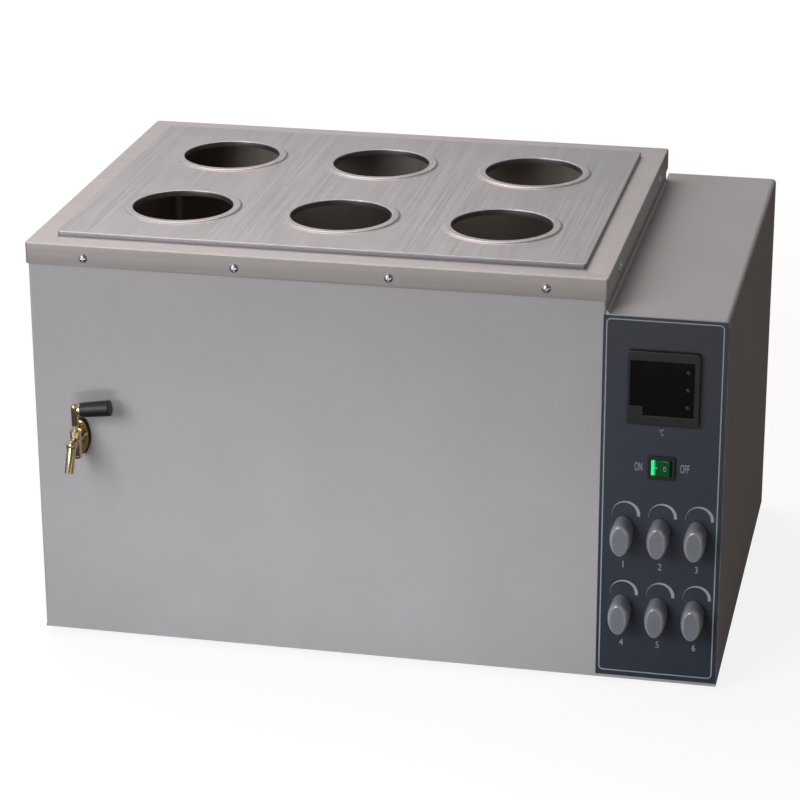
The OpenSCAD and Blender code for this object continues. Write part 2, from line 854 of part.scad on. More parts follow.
module probe() {
    color(steel) translate([tank_x1 - probe_len, 0, 0]) probe_line() rotate_extrude() {
        translate([0, probe_r]) square([probe_r, probe_len - probe_r + lead_x1 - tank_x1]);
        intersection() {
            translate([0, probe_r]) circle(probe_r);
            square(probe_r);
        }
    }
}

// One vessel hole's rim: a raised ring that turns over into a lip, drawn as a revolved section
module hole_ring() {
    ring_r = hole_r + ring_w;
    roll = lid_t;
    rotate_extrude() {
        translate([hole_r, -lip_drop]) square([lid_t, lip_drop + ring_rise - roll]);
        translate([hole_r + roll, ring_rise - lid_t]) square([ring_w - 2 * roll, lid_t]);
        translate([ring_r - lid_t, -lid_t]) square([lid_t, lid_t + ring_rise - roll]);
        intersection() {
            translate([hole_r + roll, ring_rise - roll]) circle(roll);
            translate([hole_r, ring_rise - roll]) square([roll, roll]);
        }
        intersection() {
            translate([ring_r - roll, ring_rise - roll]) circle(roll);
            translate([ring_r - roll, ring_rise - roll]) square([roll, roll]);
        }
    }
}

// Lift off lid with a turned down edge and six vessel holes
module lid() {
    color(steel) {
        difference() {
            translate([bath_x, bath_y, rim_z]) linear_extrude(lid_edge)
                round_rect(lid_w, lid_l, lip_r + lid_t);
            translate([bath_x, bath_y, rim_z - cut]) linear_extrude(lid_edge - lid_t + cut)
                round_rect(lid_w - 2 * lid_t, lid_l - 2 * lid_t, lip_r);
            for (s = station) translate([s[0], s[1], rim_z])
                cylinder(r = hole_r + ring_w - lid_t / 2, h = 2 * lid_edge);
        }
        for (s = station) translate([s[0], s[1], lid_top]) hole_ring();
    }
}

// Strips under the lid that drop inside the rim and hold it in place
module lid_locators() {
    span_x = tank_w - 2 * (rim_over + locator_gap);
    span_y = tank_l - 2 * (rim_over + locator_gap);
    color(steel) translate([bath_x, bath_y, lid_under - locator_h]) {
        for (i = [-1, 1]) {
            translate([i * (span_x - locator_t) / 2, 0, locator_h / 2])
                cube([locator_t, span_y - 2 * locator_corner, locator_h], center = true);
            translate([0, i * (span_y - locator_t) / 2, locator_h / 2])
                cube([span_x - 2 * locator_corner, locator_t, locator_h], center = true);
        }
    }
}

// Plate that carries the six motors
module motor_deck() {
    color(zinc) difference() {
        block([wool_x0, wool_y0, deck_bottom], [wool_x1, wool_y1, deck_top]);
        for (s = station) translate([s[0], s[1], deck_bottom - cut]) {
            cylinder(r = boss_d / 2 + side_gap, h = deck_t + 2 * cut);
            motor_screw_places() cylinder(r = motor_screw_r + slip, h = deck_t + 2 * cut);
        }
        post_places() translate([0, 0, deck_bottom - cut])
            cylinder(r = stud_r + slip, h = deck_t + 2 * cut);
    }
}

module deck_posts() {
    color(zinc) post_places() difference() {
        union() {
            translate([0, 0, plate_top]) cylinder(d = post_d, h = deck_bottom - plate_top);
            translate([0, 0, deck_bottom]) cylinder(r = stud_r, h = deck_t + stud_over);
        }
        translate([0, 0, plate_top - cut]) cylinder(r = screw_hole_r, h = post_screw_in + 2 * cut);
    }
}

module deck_nuts() {
    color(zinc) post_places() translate([0, 0, deck_top])
        hex_nut(stud_r + slip, stud_nut_across, stud_nut_h);
}

// Six motors hung under the deck, each with a spindle bore in its front boss
module stir_motors() {
    bore_depth = motor_h * 0.6;
    color(black) for (s = station) translate([s[0], s[1], 0]) difference() {
        union() {
            translate([0, 0, deck_bottom - motor_h]) cylinder(r = motor_r, h = motor_h);
            translate([0, 0, deck_bottom]) cylinder(d = boss_d, h = deck_t + boss_rise);
        }
        translate([0, 0, deck_bottom - bore_depth])
            cylinder(d = spindle_d + 2 * run_gap, h = bore_depth + 2 * deck_t);
        translate([0, 0, deck_bottom - motor_hole_depth]) motor_screw_places()
            cylinder(r = motor_screw_r + slip, h = motor_hole_depth + cut);
    }
}

module motor_screws() {
    color(zinc) for (s = station) translate([s[0], s[1], deck_top]) motor_screw_places()
        pan_screw(deck_t + motor_screw_len, motor_screw_r, motor_head_r, motor_head_h);
}

// One rotor: spindle, magnet holder and two magnets set in pockets of the holder
module magnet_rotor(i) {
    hub_low = deck_gap * 0.4;
    spindle_low = deck_bottom - motor_h * 0.5;
    spindle_high = rotor_top - rotor_cap;
    magnet_low = rotor_top - magnet_h;
    color(steel) translate([station[i][0], station[i][1], 0]) {
        translate([0, 0, spindle_low]) cylinder(d = spindle_d, h = spindle_high - spindle_low);
        difference() {
            union() {
                translate([0, 0, rotor_bottom]) cylinder(d = rotor_d, h = rotor_h);
                translate([0, 0, rotor_bottom - hub_low]) cylinder(d = boss_d, h = hub_low + cut);
            }
            translate([0, 0, rotor_bottom - 2 * hub_low])
                cylinder(d = spindle_d + 2 * slip, h = spindle_high - set_in - rotor_bottom + 2 * hub_low);
            for (j = [-1, 1]) translate([j * magnet_pitch / 2, 0, magnet_low])
                cylinder(d = magnet_d + 2 * slip, h = magnet_h + cut);
        }
        for (j = [-1, 1]) translate([j * magnet_pitch / 2, 0, magnet_low - set_in])
            cylinder(d = magnet_d, h = magnet_h + set_in);
    }
}

// Motor wiring: a trunk under the deck with a branch to each motor
module motor_loom() {
    trunk_x0 = station[0][0] - branch_r;
    branch = hole_pitch_y / 2 - motor_r - side_gap;
    color(black) {
        translate([trunk_x0, loom_y, loom_z]) rotate([0, 90, 0]) rotate(45)
            cylinder(r = loom_r, h = board_x - slip - trunk_x0);
        for (col = COLUMNS) translate([bath_x + col * hole_pitch_x, loom_y - branch, loom_z])
            rotate([-90, 0, 0]) rotate(45) cylinder(r = branch_r, h = 2 * branch);
    }
}

module wire_grommet() {
    start_x = house_x1 - sheet_t - grommet_lip;
    color(black) translate([start_x, loom_y, loom_z]) rotate([0, 90, 0]) difference() {
        union() {
            cylinder(r = grommet_r + grommet_over, h = grommet_lip);
            cylinder(r = grommet_r - slip, h = sheet_t + 2 * grommet_lip);
            translate([0, 0, sheet_t + grommet_lip])
                cylinder(r = grommet_r + grommet_over, h = grommet_lip);
        }
        translate([0, 0, -cut]) cylinder(r = loom_r + slip, h = sheet_t + 2 * grommet_lip + 2 * cut);
    }
}

// Cuts through the control box's front for the controller, the switch and the pots
module panel_cuts(thickness) {
    translate([panel_x, face_y - cut, controller_z]) rotate([-90, 0, 0])
        linear_extrude(thickness + 2 * cut)
            square([case_w + 2 * side_gap, case_h + 2 * side_gap], center = true);
    translate([panel_x, face_y - cut, switch_z]) rotate([-90, 0, 0])
        linear_extrude(thickness + 2 * cut) square([switch_cut_w, switch_cut_h], center = true);
    for (k = knob_place) translate([k[0], face_y - cut, k[1]]) rotate([-90, 0, 0])
        cylinder(r = bush_r + 2 * slip, h = thickness + 2 * cut);
}

// Upright section of the control box, set in by a margin, round where the cover bends over
module control_outline(inset) {
    width = control_x1 - house_x1;
    height = control_z - plate_top;
    translate([house_x1, plate_top]) {
        square([width - bend_r, height - inset]);
        square([width - inset, height - bend_r]);
        translate([width - bend_r, height - bend_r]) circle(bend_r - inset);
    }
}

// Front sheet of the control box
module control_front() {
    color(paint) difference() {
        translate([0, front_back, 0]) rotate([90, 0, 0]) linear_extrude(sheet_t) control_outline(0);
        panel_cuts(overlay_t + sheet_t);
    }
}

// Top and right side of the control box in one bent sheet, with folds at the bottom, left and rear
module control_cover() {
    rear_y = control_y1 - sheet_t;
    left_y1 = house_y1 - rear_lap - side_gap;
    color(paint) difference() {
        union() {
            translate([0, rear_y, 0]) rotate([90, 0, 0]) linear_extrude(rear_y - front_back) difference() {
                control_outline(0);
                control_outline(sheet_t);
            }
            block([control_x1 - sheet_t - fold_w, front_back, plate_top],
                [control_x1 - sheet_t / 2, rear_y, plate_top + sheet_t]);
            block([house_x1, front_back, control_z - sheet_t - fold_w],
                [house_x1 + sheet_t, left_y1, control_z - sheet_t / 2]);
            block([control_x1 - sheet_t - fold_w, rear_y - sheet_t, plate_top],
                [control_x1 - sheet_t / 2, rear_y, control_z - bend_r - fold_w]);
            block([house_x1 + rear_lap, rear_y - sheet_t, control_z - sheet_t - fold_w],
                [control_x1 - bend_r - fold_w, rear_y, control_z - sheet_t / 2]);
        }
        control_screw_places() rear_screw_cut();
        base_screw_places() base_screw_cut();
    }
}

// Places of the rear sheet's screws and of the inlet's screws
module control_screw_places() {
    right_x = control_x1 - sheet_t - fold_w / 2;
    for (z = [plate_top + control_screw_low, (plate_top + control_z) / 2, control_z - control_screw_high])
        translate([right_x, control_y1, z]) rotate([-90, 0, 0]) children();
    translate([inlet_x, control_y1, control_z - sheet_t - fold_w / 2]) rotate([-90, 0, 0]) children();
}

module inlet_screw_places() {
    for (i = [-1, 1]) translate([inlet_x + i * inlet_screw_pitch / 2, control_y1 + inlet_flange, inlet_z])
        rotate([-90, 0, 0]) children();
}

// Rear sheet of the control box, with a side fold that laps along the cabinet's right wall
module control_rear() {
    rear_y = control_y1 - sheet_t;
    color(paint) difference() {
        union() {
            translate([0, control_y1, 0]) rotate([90, 0, 0]) linear_extrude(sheet_t) control_outline(0);
            block([house_x1, house_y1 - rear_lap, plate_top],
                [house_x1 + sheet_t, rear_y + sheet_t / 2, control_z - sheet_t - side_gap]);
        }
        control_screw_places() rear_screw_cut();
        inlet_screw_places() rear_screw_cut();
        translate([inlet_x, control_y1 + cut, inlet_z]) rotate([90, 0, 0]) linear_extrude(sheet_t + 2 * cut)
            square([inlet_body_w + 2 * side_gap, inlet_body_h + 2 * side_gap], center = true);
        translate([inlet_x - inlet_vent_shift, control_y1 + cut, (plate_top + control_z) / 2])
            for (j = [0 : 5]) translate([0, 0, j * vent_pitch_z])
                rotate([90, 0, 0]) slot_cut(vent_l * 0.75, vent_h, sheet_t + 2 * cut);
    }
}

module control_screws() {
    color(zinc) {
        control_screw_places() pan_screw(rear_screw_len);
        inlet_screw_places()
            pan_screw(rear_screw_len + inlet_flange, inlet_screw_r, inlet_head_r, inlet_head_h);
    }
}

// Printed plate over the whole front of the control box
module panel_overlay() {
    color(panel_blue) difference() {
        block([panel_x0, face_y, panel_z0], [panel_x1, front_y, panel_z1]);
        panel_cuts(overlay_t);
    }
}

// Outline of the controller's window with its step, grown by a margin
module window_outline(grow) {
    difference() {
        translate([window_x0 - grow, window_z0 - grow])
            square([window_x1 - window_x0 + 2 * grow, window_z1 - window_z0 + 2 * grow]);
        translate([window_x0 - grow - cut, window_z0 - grow - cut]) square([step_w + cut, step_h + cut]);
    }
}

module on_panel(y, thickness) {
    translate([0, y + thickness, 0]) rotate([90, 0, 0]) linear_extrude(thickness) children();
}

// Places of the controller's three keys
module key_place(i) {
    translate([key_x, 0, controller_z + (1 - i) * key_pitch]) rotate([-90, 0, 0]) children();
}

// Controller moulding: bezel in front of the panel, case behind it, pocket for the window
module controller_case() {
    color(black) difference() {
        union() {
            on_panel(face_y - bezel_t, bezel_t) translate([panel_x, controller_z])
                round_rect(bezel_w, bezel_h, bezel_r);
            on_panel(face_y - bezel_t / 2, bezel_t / 2 + case_depth)
                translate([panel_x, controller_z]) square([case_w, case_h], center = true);
        }
        on_panel(face_y - bezel_t - cut, window_sink + window_t + cut) window_outline(slip);
        on_panel(window_y, key_hollow - window_y) window_outline(-ledge);
    }
}

// Dark window that shows the display and guides the keys
module controller_window() {
    color([0.03, 0.03, 0.04]) difference() {
        on_panel(window_y, window_t) window_outline(0);
        for (i = [0 : 2]) translate([0, window_y - cut, 0]) key_place(i)
            cylinder(r = key_r + side_gap, h = window_t + 2 * cut);
    }
}

// Frame behind the panel that clamps the controller's case
module controller_clamp() {
    color(black) on_panel(front_back, clamp_t) translate([panel_x, controller_z]) difference() {
        square([case_w + 2 * clamp_over, case_h + 2 * clamp_over], center = true);
        square([case_w + 2 * slip, case_h + 2 * slip], center = true);
    }
}

// Key with a flange behind the window that keeps it in
module controller_key(i) {
    color([0.13, 0.13, 0.14]) translate([0, window_y - key_out, 0]) key_place(i) {
        cylinder(r = key_r, h = key_out + window_t + key_flange);
        translate([0, 0, key_out + window_t]) cylinder(r = key_r + key_lip, h = key_flange);
    }
}

// Switch frame and housing with a well for the rocker
module switch_body() {
    color(black) difference() {
        union() {
            on_panel(face_y - frame_t, frame_t) translate([panel_x, switch_z])
                round_rect(switch_w, switch_h, switch_corner);
            on_panel(face_y - frame_t / 2, frame_t / 2 + switch_depth) translate([panel_x, switch_z])
                square([switch_cut_w - 2 * side_gap, switch_cut_h - 2 * side_gap], center = true);
        }
        on_panel(face_y - frame_t - cut, frame_t + cut + pivot_in + well_depth)
            translate([panel_x, switch_z]) square([well_w, well_h], center = true);
        translate([panel_x, pivot_y, switch_z - rocker_h / 2 - pin_over])
            cylinder(r = pin_r + run_gap, h = rocker_h + 2 * pin_over);
    }
}

// Rocker, shown with its left end pressed in, with the pin that it turns on
module switch_rocker() {
    half = rocker_w / 2;
    pin_len = rocker_h + 2 * (pin_over - pin_play);
    color(green) translate([panel_x, pivot_y, switch_z]) rotate(-rocker_tilt) {
        translate([0, 0, -rocker_h / 2]) linear_extrude(rocker_h) polygon([
            [-half, -rocker_reach], [0, rocker_dip - rocker_reach], [half, -rocker_reach],
            [half, -rocker_cheek], [half / 2, rocker_back], [-half / 2, rocker_back],
            [-half, -rocker_cheek]]);
        translate([0, 0, -pin_len / 2]) cylinder(r = pin_r, h = pin_len);
    }
}

// Six pots behind the front sheet, each with a threaded bush through the panel
module speed_pots() {
    color(zinc) for (k = knob_place) translate([k[0], 0, k[1]]) rotate([-90, 0, 0]) difference() {
        union() {
            translate([0, 0, front_back]) cylinder(r = pot_r, h = pot_depth);
            translate([0, 0, face_y - bush_out])
                cylinder(r = bush_r, h = bush_out + overlay_t + sheet_t + cut);
        }
        translate([0, 0, face_y - bush_out - cut])
            cylinder(r = shaft_d / 2 + run_gap, h = bush_out + overlay_t + sheet_t + shaft_in + cut);
    }
}

module pot_nuts() {
    color(zinc) for (k = knob_place) translate([k[0], face_y - pot_nut_t, k[1]]) rotate([-90, 0, 0])
        hex_nut(bush_r + slip, 2 * pot_nut_r * cos(30), pot_nut_t);
}

// Oval slice of a knob at one distance from the panel
module knob_slice(along, thick, long, wide) {
    translate([0, 0, along]) linear_extrude(thick) scale([wide / long, 1]) circle(d = long, $fn = 48);
}

// One knob and its shaft: an oval base that swells and then tapers to an oval front face
module speed_knob(i) {
    thin = 0.1;
    hollow_r = pot_nut_r + knob_nut_gap;
    shaft_base = knob_lift + overlay_t + sheet_t + shaft_in - shaft_end_gap;
    full_long = knob_long - face_long;
    full_wide = knob_wide - face_wide;
    place = [knob_place[i][0], face_y - knob_lift, knob_place[i][1]];
    color(knob_grey) translate(place) rotate([90, 0, 0]) {
        difference() {
            hull() {
                knob_slice(0, knob_len * 0.25, knob_long, knob_wide);
                for (step = [[0.62, 0.66], [0.95, 0.16]])
                    knob_slice(knob_len * step[0], thin, face_long + full_long * step[1],
                        face_wide + full_wide * step[1]);
                knob_slice(knob_len - thin, thin, face_long, face_wide);
            }
            translate([0, 0, -cut]) cylinder(r = hollow_r, h = knob_hollow + cut);
            translate([0, 0, -cut]) cylinder(r = shaft_d / 2 + slip, h = shaft_out + cut);
        }
        translate([0, 0, -shaft_base]) cylinder(d = shaft_d, h = shaft_base + shaft_out);
    }
}

// Speed board on standoffs at the cabinet's right wall, inside the control box
module speed_board() {
    color(board_green) difference() {
        block([board_x, board_y - board_l / 2, board_z0],
            [board_x + board_t, board_y + board_l / 2, board_z0 + board_h]);
        standoff_places() translate([0, 0, -cut])
            cylinder(r = board_hole_r, h = board_gap + board_t + 2 * cut);
    }
}

module standoff_places() {
    for (i = [-1, 1]) for (z = [board_z0 + standoff_in, board_z0 + board_h - standoff_in])
        translate([house_x1, board_y + i * (board_l / 2 - standoff_in), z]) rotate([0, 90, 0]) children();
}

module board_standoffs() {
    color(brass) standoff_places() {
        cylinder(d = standoff_across, h = board_gap, $fn = 6);
        cylinder(r = standoff_pin_r, h = board_gap + board_t + standoff_pin_over);
    }
}

// Places on the board's face, as parts of its length and height from its middle
module on_board(along, up) {
    translate([board_x + board_t, board_y + along * board_l, board_z0 + (0.5 + up) * board_h]) children();
}

// A part of the board that stands out from it, centred on its place
module board_block(size) {
    translate([0, -size[1] / 2, -size[2] / 2]) cube(size);
}

// Transformer, heat sink, terminal row and two capacitors on the board
module board_parts() {
    color(black) {
        on_board(-0.28, 0) board_block(transformer);
        on_board(0.15, -0.26) board_block(heat_sink);
        on_board(0.32, 0.07) board_block(terminals);
        for (i = [-0.5, 0.5]) on_board(0.04, 0.13) translate([0, i * capacitor_pitch, 0])
            rotate([0, 90, 0]) cylinder(r = capacitor_r, h = capacitor_h);
    }
}

// The inlet's own frame: into the control box from the rear sheet's outside
module inlet_line() {
    translate([inlet_x, control_y1, inlet_z]) rotate([90, 0, 0]) children();
}

// Bars through the socket's floor, one for each blade, grown by a margin
module blade_bars(low, high, grow) {
    for (b = blade_place) translate([b[0], b[1], low]) linear_extrude(high - low)
        square([blade_t + 2 * grow, blade_w + 2 * grow], center = true);
}

// Moulding of the mains inlet, with its flange outside the rear sheet
module power_inlet() {
    color(black) inlet_line() difference() {
        union() {
            translate([0, 0, -inlet_flange]) linear_extrude(inlet_flange)
                round_rect(inlet_w, inlet_h, inlet_corner);
            translate([0, 0, -inlet_flange / 2]) linear_extrude(inlet_flange / 2 + inlet_depth)
                square([inlet_body_w, inlet_body_h], center = true);
        }
        translate([0, 0, -inlet_flange - cut]) linear_extrude(socket_depth + cut)
            square([socket_w, socket_h], center = true);
        blade_bars(socket_floor - cut, inlet_depth + cut, slip);
        for (i = [-1, 1]) translate([i * inlet_screw_pitch / 2, 0, -inlet_flange - cut])
            cylinder(r = inlet_screw_r + slip, h = inlet_flange + 2 * cut);
    }
}

// Three blades through the socket's floor, with tabs behind for the wires
module inlet_blades() {
    color(zinc) inlet_line() blade_bars(socket_floor - blade_l, inlet_depth + tab_l, 0);
}

// Direction of the spout: down and out from the wall
module spout_line() {
    translate([tap_x, elbow_y, tap_z + elbow_up]) rotate([180 - spout_lean, 0, 0]) children();
}

// Cast tap: tail through both walls, flange, plug case, elbow and spout
module tap_body() {
    color(brass) difference() {
        union() {
            translate([tap_x, tail_y1, tap_z]) rotate([90, 0, 0])
                cylinder(d = tap_tail_d, h = tail_y1 - tap_face);
            translate([tap_x, tap_face, tap_z]) rotate([90, 0, 0]) {
                linear_extrude(tap_flange_t) oval(tap_flange_w, tap_flange_h);
                cylinder(r = barrel_r, h = tap_face - plug_y);
            }
            translate([tap_x, plug_y, tap_z - plug_case_h]) cylinder(r = plug_case_r, h = 2 * plug_case_h);
            translate([tap_x, plug_y, tap_z + elbow_up]) rotate([90, 0, 0])
                cylinder(r = elbow_neck_r, h = elbow_out);
            translate([tap_x, elbow_y, tap_z + elbow_up]) ball(elbow_r);
            spout_line() cylinder(d = spout_d, h = spout_len);
        }
        translate([tap_x, tail_y1 + cut, tap_z]) rotate([90, 0, 0])
            cylinder(r = tap_bore_r, h = tail_y1 - plug_y + cut);
        translate([tap_x, plug_y, tap_z + elbow_up]) rotate([90, 0, 0])
            cylinder(r = tap_bore_r, h = elbow_out);
        translate([tap_x, plug_y, tap_z - plug_case_h - cut])
            cylinder(r = plug_d / 2 + run_gap, h = 2 * (plug_case_h + cut));
        spout_line() translate([0, 0, -spout_bore_up])
            cylinder(r = spout_bore_r, h = spout_bore_up + spout_len + cut);
    }
}

module tap_gasket() {
    color(black) translate([tap_x, front_y, tap_z]) rotate([90, 0, 0]) difference() {
        linear_extrude(gasket_t) oval(tap_flange_w + 2 * gasket_over, tap_flange_h + 2 * gasket_over);
        translate([0, 0, -cut]) cylinder(r = tap_tail_d / 2 + slip, h = gasket_t + 2 * cut);
    }
}

module tap_washer() {
    color(black) translate([tap_x, tank_y0, tap_z]) rotate([-90, 0, 0]) difference() {
        cylinder(r = tap_tail_d / 2 + washer_over, h = washer_t);
        translate([0, 0, -cut]) cylinder(r = tap_tail_d / 2 + slip, h = washer_t + 2 * cut);
    }
}

module tap_nut() {
    color(brass) translate([tap_x, tank_y0 + washer_t, tap_z]) rotate([-90, 0, 0])
        hex_nut(tap_tail_d / 2 + slip, tap_nut_across, tap_nut_t);
}

// Plug with a cross hole that lies along the wall when shut, a stem above and a keeper below
module tap_plug() {
    stem_top = tap_z + lever_up - hub_drop;
    foot_z = tap_z - plug_case_h - side_gap - keeper_h;
    color(brass) translate([tap_x, plug_y, 0]) difference() {
        union() {
            translate([0, 0, foot_z]) cylinder(r = keeper_r, h = keeper_h);
            translate([0, 0, foot_z]) cylinder(d = plug_d, h = 2 * plug_case_h + keeper_h + 2 * side_gap);
            translate([0, 0, tap_z]) cylinder(r = stem_r, h = stem_top - tap_z);
        }
        translate([-plug_d, 0, tap_z]) rotate([0, 90, 0]) cylinder(r = tap_bore_r, h = 2 * plug_d);
    }
}

// Direction of the lever from the plug's axis
module lever_line() {
    translate([tap_x, plug_y, tap_z + lever_up]) rotate([0, 90 - lever_tilt, 0]) children();
}

// Brass hub on the stem with the arm and its collar
module lever_arm() {
    hub_z = tap_z + lever_up - hub_drop;
    dome_z = tap_z + lever_up + hub_top - hub_r;
    color(brass) {
        translate([tap_x, plug_y, hub_z]) cylinder(r = hub_r, h = dome_z - hub_z);
        translate([tap_x, plug_y, dome_z]) ball(hub_r);
        lever_line() {
            cylinder(r = arm_r, h = collar_out + collar_t + grip_bore - set_in);
            translate([0, 0, collar_out]) cylinder(r = collar_r, h = collar_t);
        }
    }
}

module lever_grip() {
    color(black) lever_line() translate([0, 0, collar_out + collar_t]) difference() {
        cylinder(d1 = grip_d - grip_taper, d2 = grip_d, h = grip_len);
        translate([0, 0, -cut]) cylinder(r = arm_r + slip, h = grip_bore + cut);
    }
}

housing_wrap();
rear_panel();
rear_screws();
base_plate();
base_fixings();
feet();
rim_frame();
rim_screws();
tank();
insulation();
heater();
wall_glands();
probe();
lid();
lid_locators();
motor_deck();
deck_posts();
deck_nuts();
stir_motors();
motor_screws();
for (i = [0 : 5]) magnet_rotor(i);
motor_loom();
wire_grommet();
control_front();
control_cover();
control_rear();
control_screws();
panel_overlay();
controller_case();
controller_window();
controller_clamp();
for (i = [0 : 2]) controller_key(i);
switch_body();
switch_rocker();
speed_pots();
pot_nuts();
for (i = [0 : 5]) speed_knob(i);
speed_board();
board_parts();
board_standoffs();
power_inlet();
inlet_blades();
tap_body();
tap_gasket();
tap_washer();
tap_nut();
tap_plug();
lever_arm();
lever_grip();
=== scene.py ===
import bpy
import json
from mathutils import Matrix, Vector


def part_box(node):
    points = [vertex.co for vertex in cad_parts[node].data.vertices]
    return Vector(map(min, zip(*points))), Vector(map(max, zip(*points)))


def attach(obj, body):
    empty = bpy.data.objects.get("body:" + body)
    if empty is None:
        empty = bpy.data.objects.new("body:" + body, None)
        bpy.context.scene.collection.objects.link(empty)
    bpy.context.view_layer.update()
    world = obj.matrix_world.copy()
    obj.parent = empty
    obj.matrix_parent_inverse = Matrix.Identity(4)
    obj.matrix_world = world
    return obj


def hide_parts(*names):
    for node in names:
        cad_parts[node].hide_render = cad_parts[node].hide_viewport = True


bl_info = {
    "name": "Stirring Water Bath",
    "version": (1, 0, 0),
    "blender": (4, 5, 0),
    "location": "3D View > Sidebar > Water Bath",
    "description": "Finishes, fine pieces and stage of a six place magnetic stirring water bath",
    "category": "Object",
}

import json
import math

import bmesh
import bpy
from bpy.props import FloatProperty, FloatVectorProperty, PointerProperty
from mathutils import Matrix, Vector

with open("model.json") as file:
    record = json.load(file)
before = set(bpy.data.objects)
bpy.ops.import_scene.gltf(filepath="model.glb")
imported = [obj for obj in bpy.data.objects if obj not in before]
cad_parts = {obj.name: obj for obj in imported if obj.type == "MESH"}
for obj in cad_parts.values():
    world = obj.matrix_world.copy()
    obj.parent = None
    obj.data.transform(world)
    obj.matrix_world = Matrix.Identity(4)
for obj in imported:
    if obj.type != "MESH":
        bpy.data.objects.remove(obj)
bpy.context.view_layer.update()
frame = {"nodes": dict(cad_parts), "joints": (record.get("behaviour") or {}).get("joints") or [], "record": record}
JOINTS = {joint["name"]: joint for joint in frame["joints"]}
SLOTS = {part["node"]: part["material_slot"] for part in frame["record"]["subparts"]}

MM = 0.001
UP = Vector((0, 0, 1))
OUT = Vector((0, -1, 0))
WHITE = (1, 1, 1, 1)
STATIONS = range(1, 7)
KEYS = range(1, 4)

# Steps of arcs, round pieces and bends
ARC_STEPS = 5
ROUND_STEPS = 72
KEY_STEPS = 32
KNOB_STEPS = 64
KNOB_RINGS = 16
SHAFT_STEPS = 24
SCALE_STEPS = 28
MARK_STEPS = 32
RIM_FOLD_STEPS = 4
LID_FOLD_STEPS = 3
EDGE_STEPS = 2

SAME_POINT = 0.002 * MM
SAME_LEVEL = 0.01 * MM
FLAT_ANGLE = math.radians(0.2)
SMOOTH_ANGLE = math.radians(32)
ROCKER_TILT = math.radians(-8)
# Power of the curve of a knob's side: the higher it is, the fuller the knob
KNOB_FULLNESS = 3.2


def linear(hex_text):
    """Scene linear colour, with full alpha, of an sRGB hex value."""
    channels = [int(hex_text[i : i + 2], 16) / 255 for i in (1, 3, 5)]
    return tuple(c / 12.92 if c <= 0.04045 else ((c + 0.055) / 1.055) ** 2.4 for c in channels) + (1.0,)


def length(name, description, millimetres):
    """A size given in millimetres and kept in metres."""
    return FloatProperty(
        name=name, description=description, default=millimetres * MM, unit="LENGTH", precision=5
    )


def colour(name, description, hex_text):
    """A colour given as sRGB hex."""
    return FloatVectorProperty(
        name=name, description=description, default=linear(hex_text), subtype="COLOR", size=4, min=0, max=1
    )


def spot(name, description, metres):
    """A place in metres."""
    return FloatVectorProperty(name=name, description=description, default=metres, subtype="TRANSLATION")


def level(name, description, value, unit="NONE"):
    """A number, with its unit where it has one."""
    return FloatProperty(name=name, description=description, default=value, unit=unit)


class BathSizes(bpy.types.PropertyGroup):
    """Sizes of the fine pieces and of the finishes"""

    sheet_edge: length("Sheet edge", "Rounding of the cut edges of painted sheet", 0.35)
    small_edge: length("Small edge", "Rounding of the edges of screws, nuts and fittings", 0.25)
    moulded_edge: length("Moulded edge", "Rounding of the edges of plastic mouldings", 0.5)
    film_edge: length("Film edge", "Rounding of the panel's edges", 0.15)
    lid_sheet: length("Lid sheet", "Thickness of the lid", 1.0)
    lid_fold: length("Lid fold", "Reach of the bend at the lid's edge", 0.5)
    lid_edge: length("Lid edge", "Height of the lid's turned down edge", 4.5)
    lid_corner: length("Lid corner", "Corner radius of the lid", 2.0)
    hole_radius: length("Hole radius", "Radius of the vessel holes", 44.0)
    ring_width: length("Ring width", "Width of the raised ring round a vessel hole", 7.5)
    ring_rise: length("Ring rise", "Height of the raised ring", 1.4)
    lip_drop: length("Lip drop", "Depth of the lip turned down inside a hole", 3.6)
    rim_sheet: length("Rim sheet", "Thickness of the rim", 1.2)
    rim_fold: length("Rim fold", "Reach of the bend between the rim's top and its skirt", 1.1)
    rim_corner: length("Rim corner", "Rounding of the rim's ground corners", 2.4)
    opening_width: length("Opening width", "Width of the rim's opening", 440.0)
    opening_depth: length("Opening depth", "Depth of the rim's opening from front to back", 326.0)
    opening_corner: length("Opening corner", "Corner radius of the rim's opening", 4.0)
    bead: length("Sealing bead", "Size of the sealing bead between the cabinet and the control box", 2.6)
    knob_long: length("Knob length", "Length of a knob's oval base", 30.4)
    knob_wide: length("Knob width", "Width of a knob's oval base", 19.4)
    face_long: length("Knob face length", "Length of a knob's oval front face", 24.4)
    face_wide: length("Knob face width", "Width of a knob's oval front face", 11.6)
    knob_lift: length("Knob lift", "Gap between the panel and a knob's base", 0.6)
    knob_side: length("Knob side", "Height of the straight side at a knob's base", 4.0)
    knob_wall: length("Knob wall", "Thickness of a knob's skirt round its hollow", 1.6)
    knob_hollow: length("Knob hollow", "Depth of the hollow in a knob's base", 6.0)
    shaft: length("Shaft", "Diameter of the speed pots' shafts", 6.0)
    print_rise: length("Print rise", "Thickness of the printed ink", 0.06)
    border_line: length("Border line", "Width of the panel's printed border", 1.0)
    border_corner: length("Border corner", "Corner radius of the panel's printed border", 4.0)
    letter_height: length("Letter height", "Height of the switch's lettering", 7.4)
    degree_height: length("Degree height", "Height of the controller's degree sign", 6.0)
    number_height: length("Number height", "Height of the knobs' numbers", 6.0)
    rocker_wide: length("Rocker width", "Width of the rocker", 15.6)
    rocker_high: length("Rocker height", "Height of the rocker", 13.6)
    key_edge: length("Key edge", "Rounding of the edges of the controller's keys", 0.7)


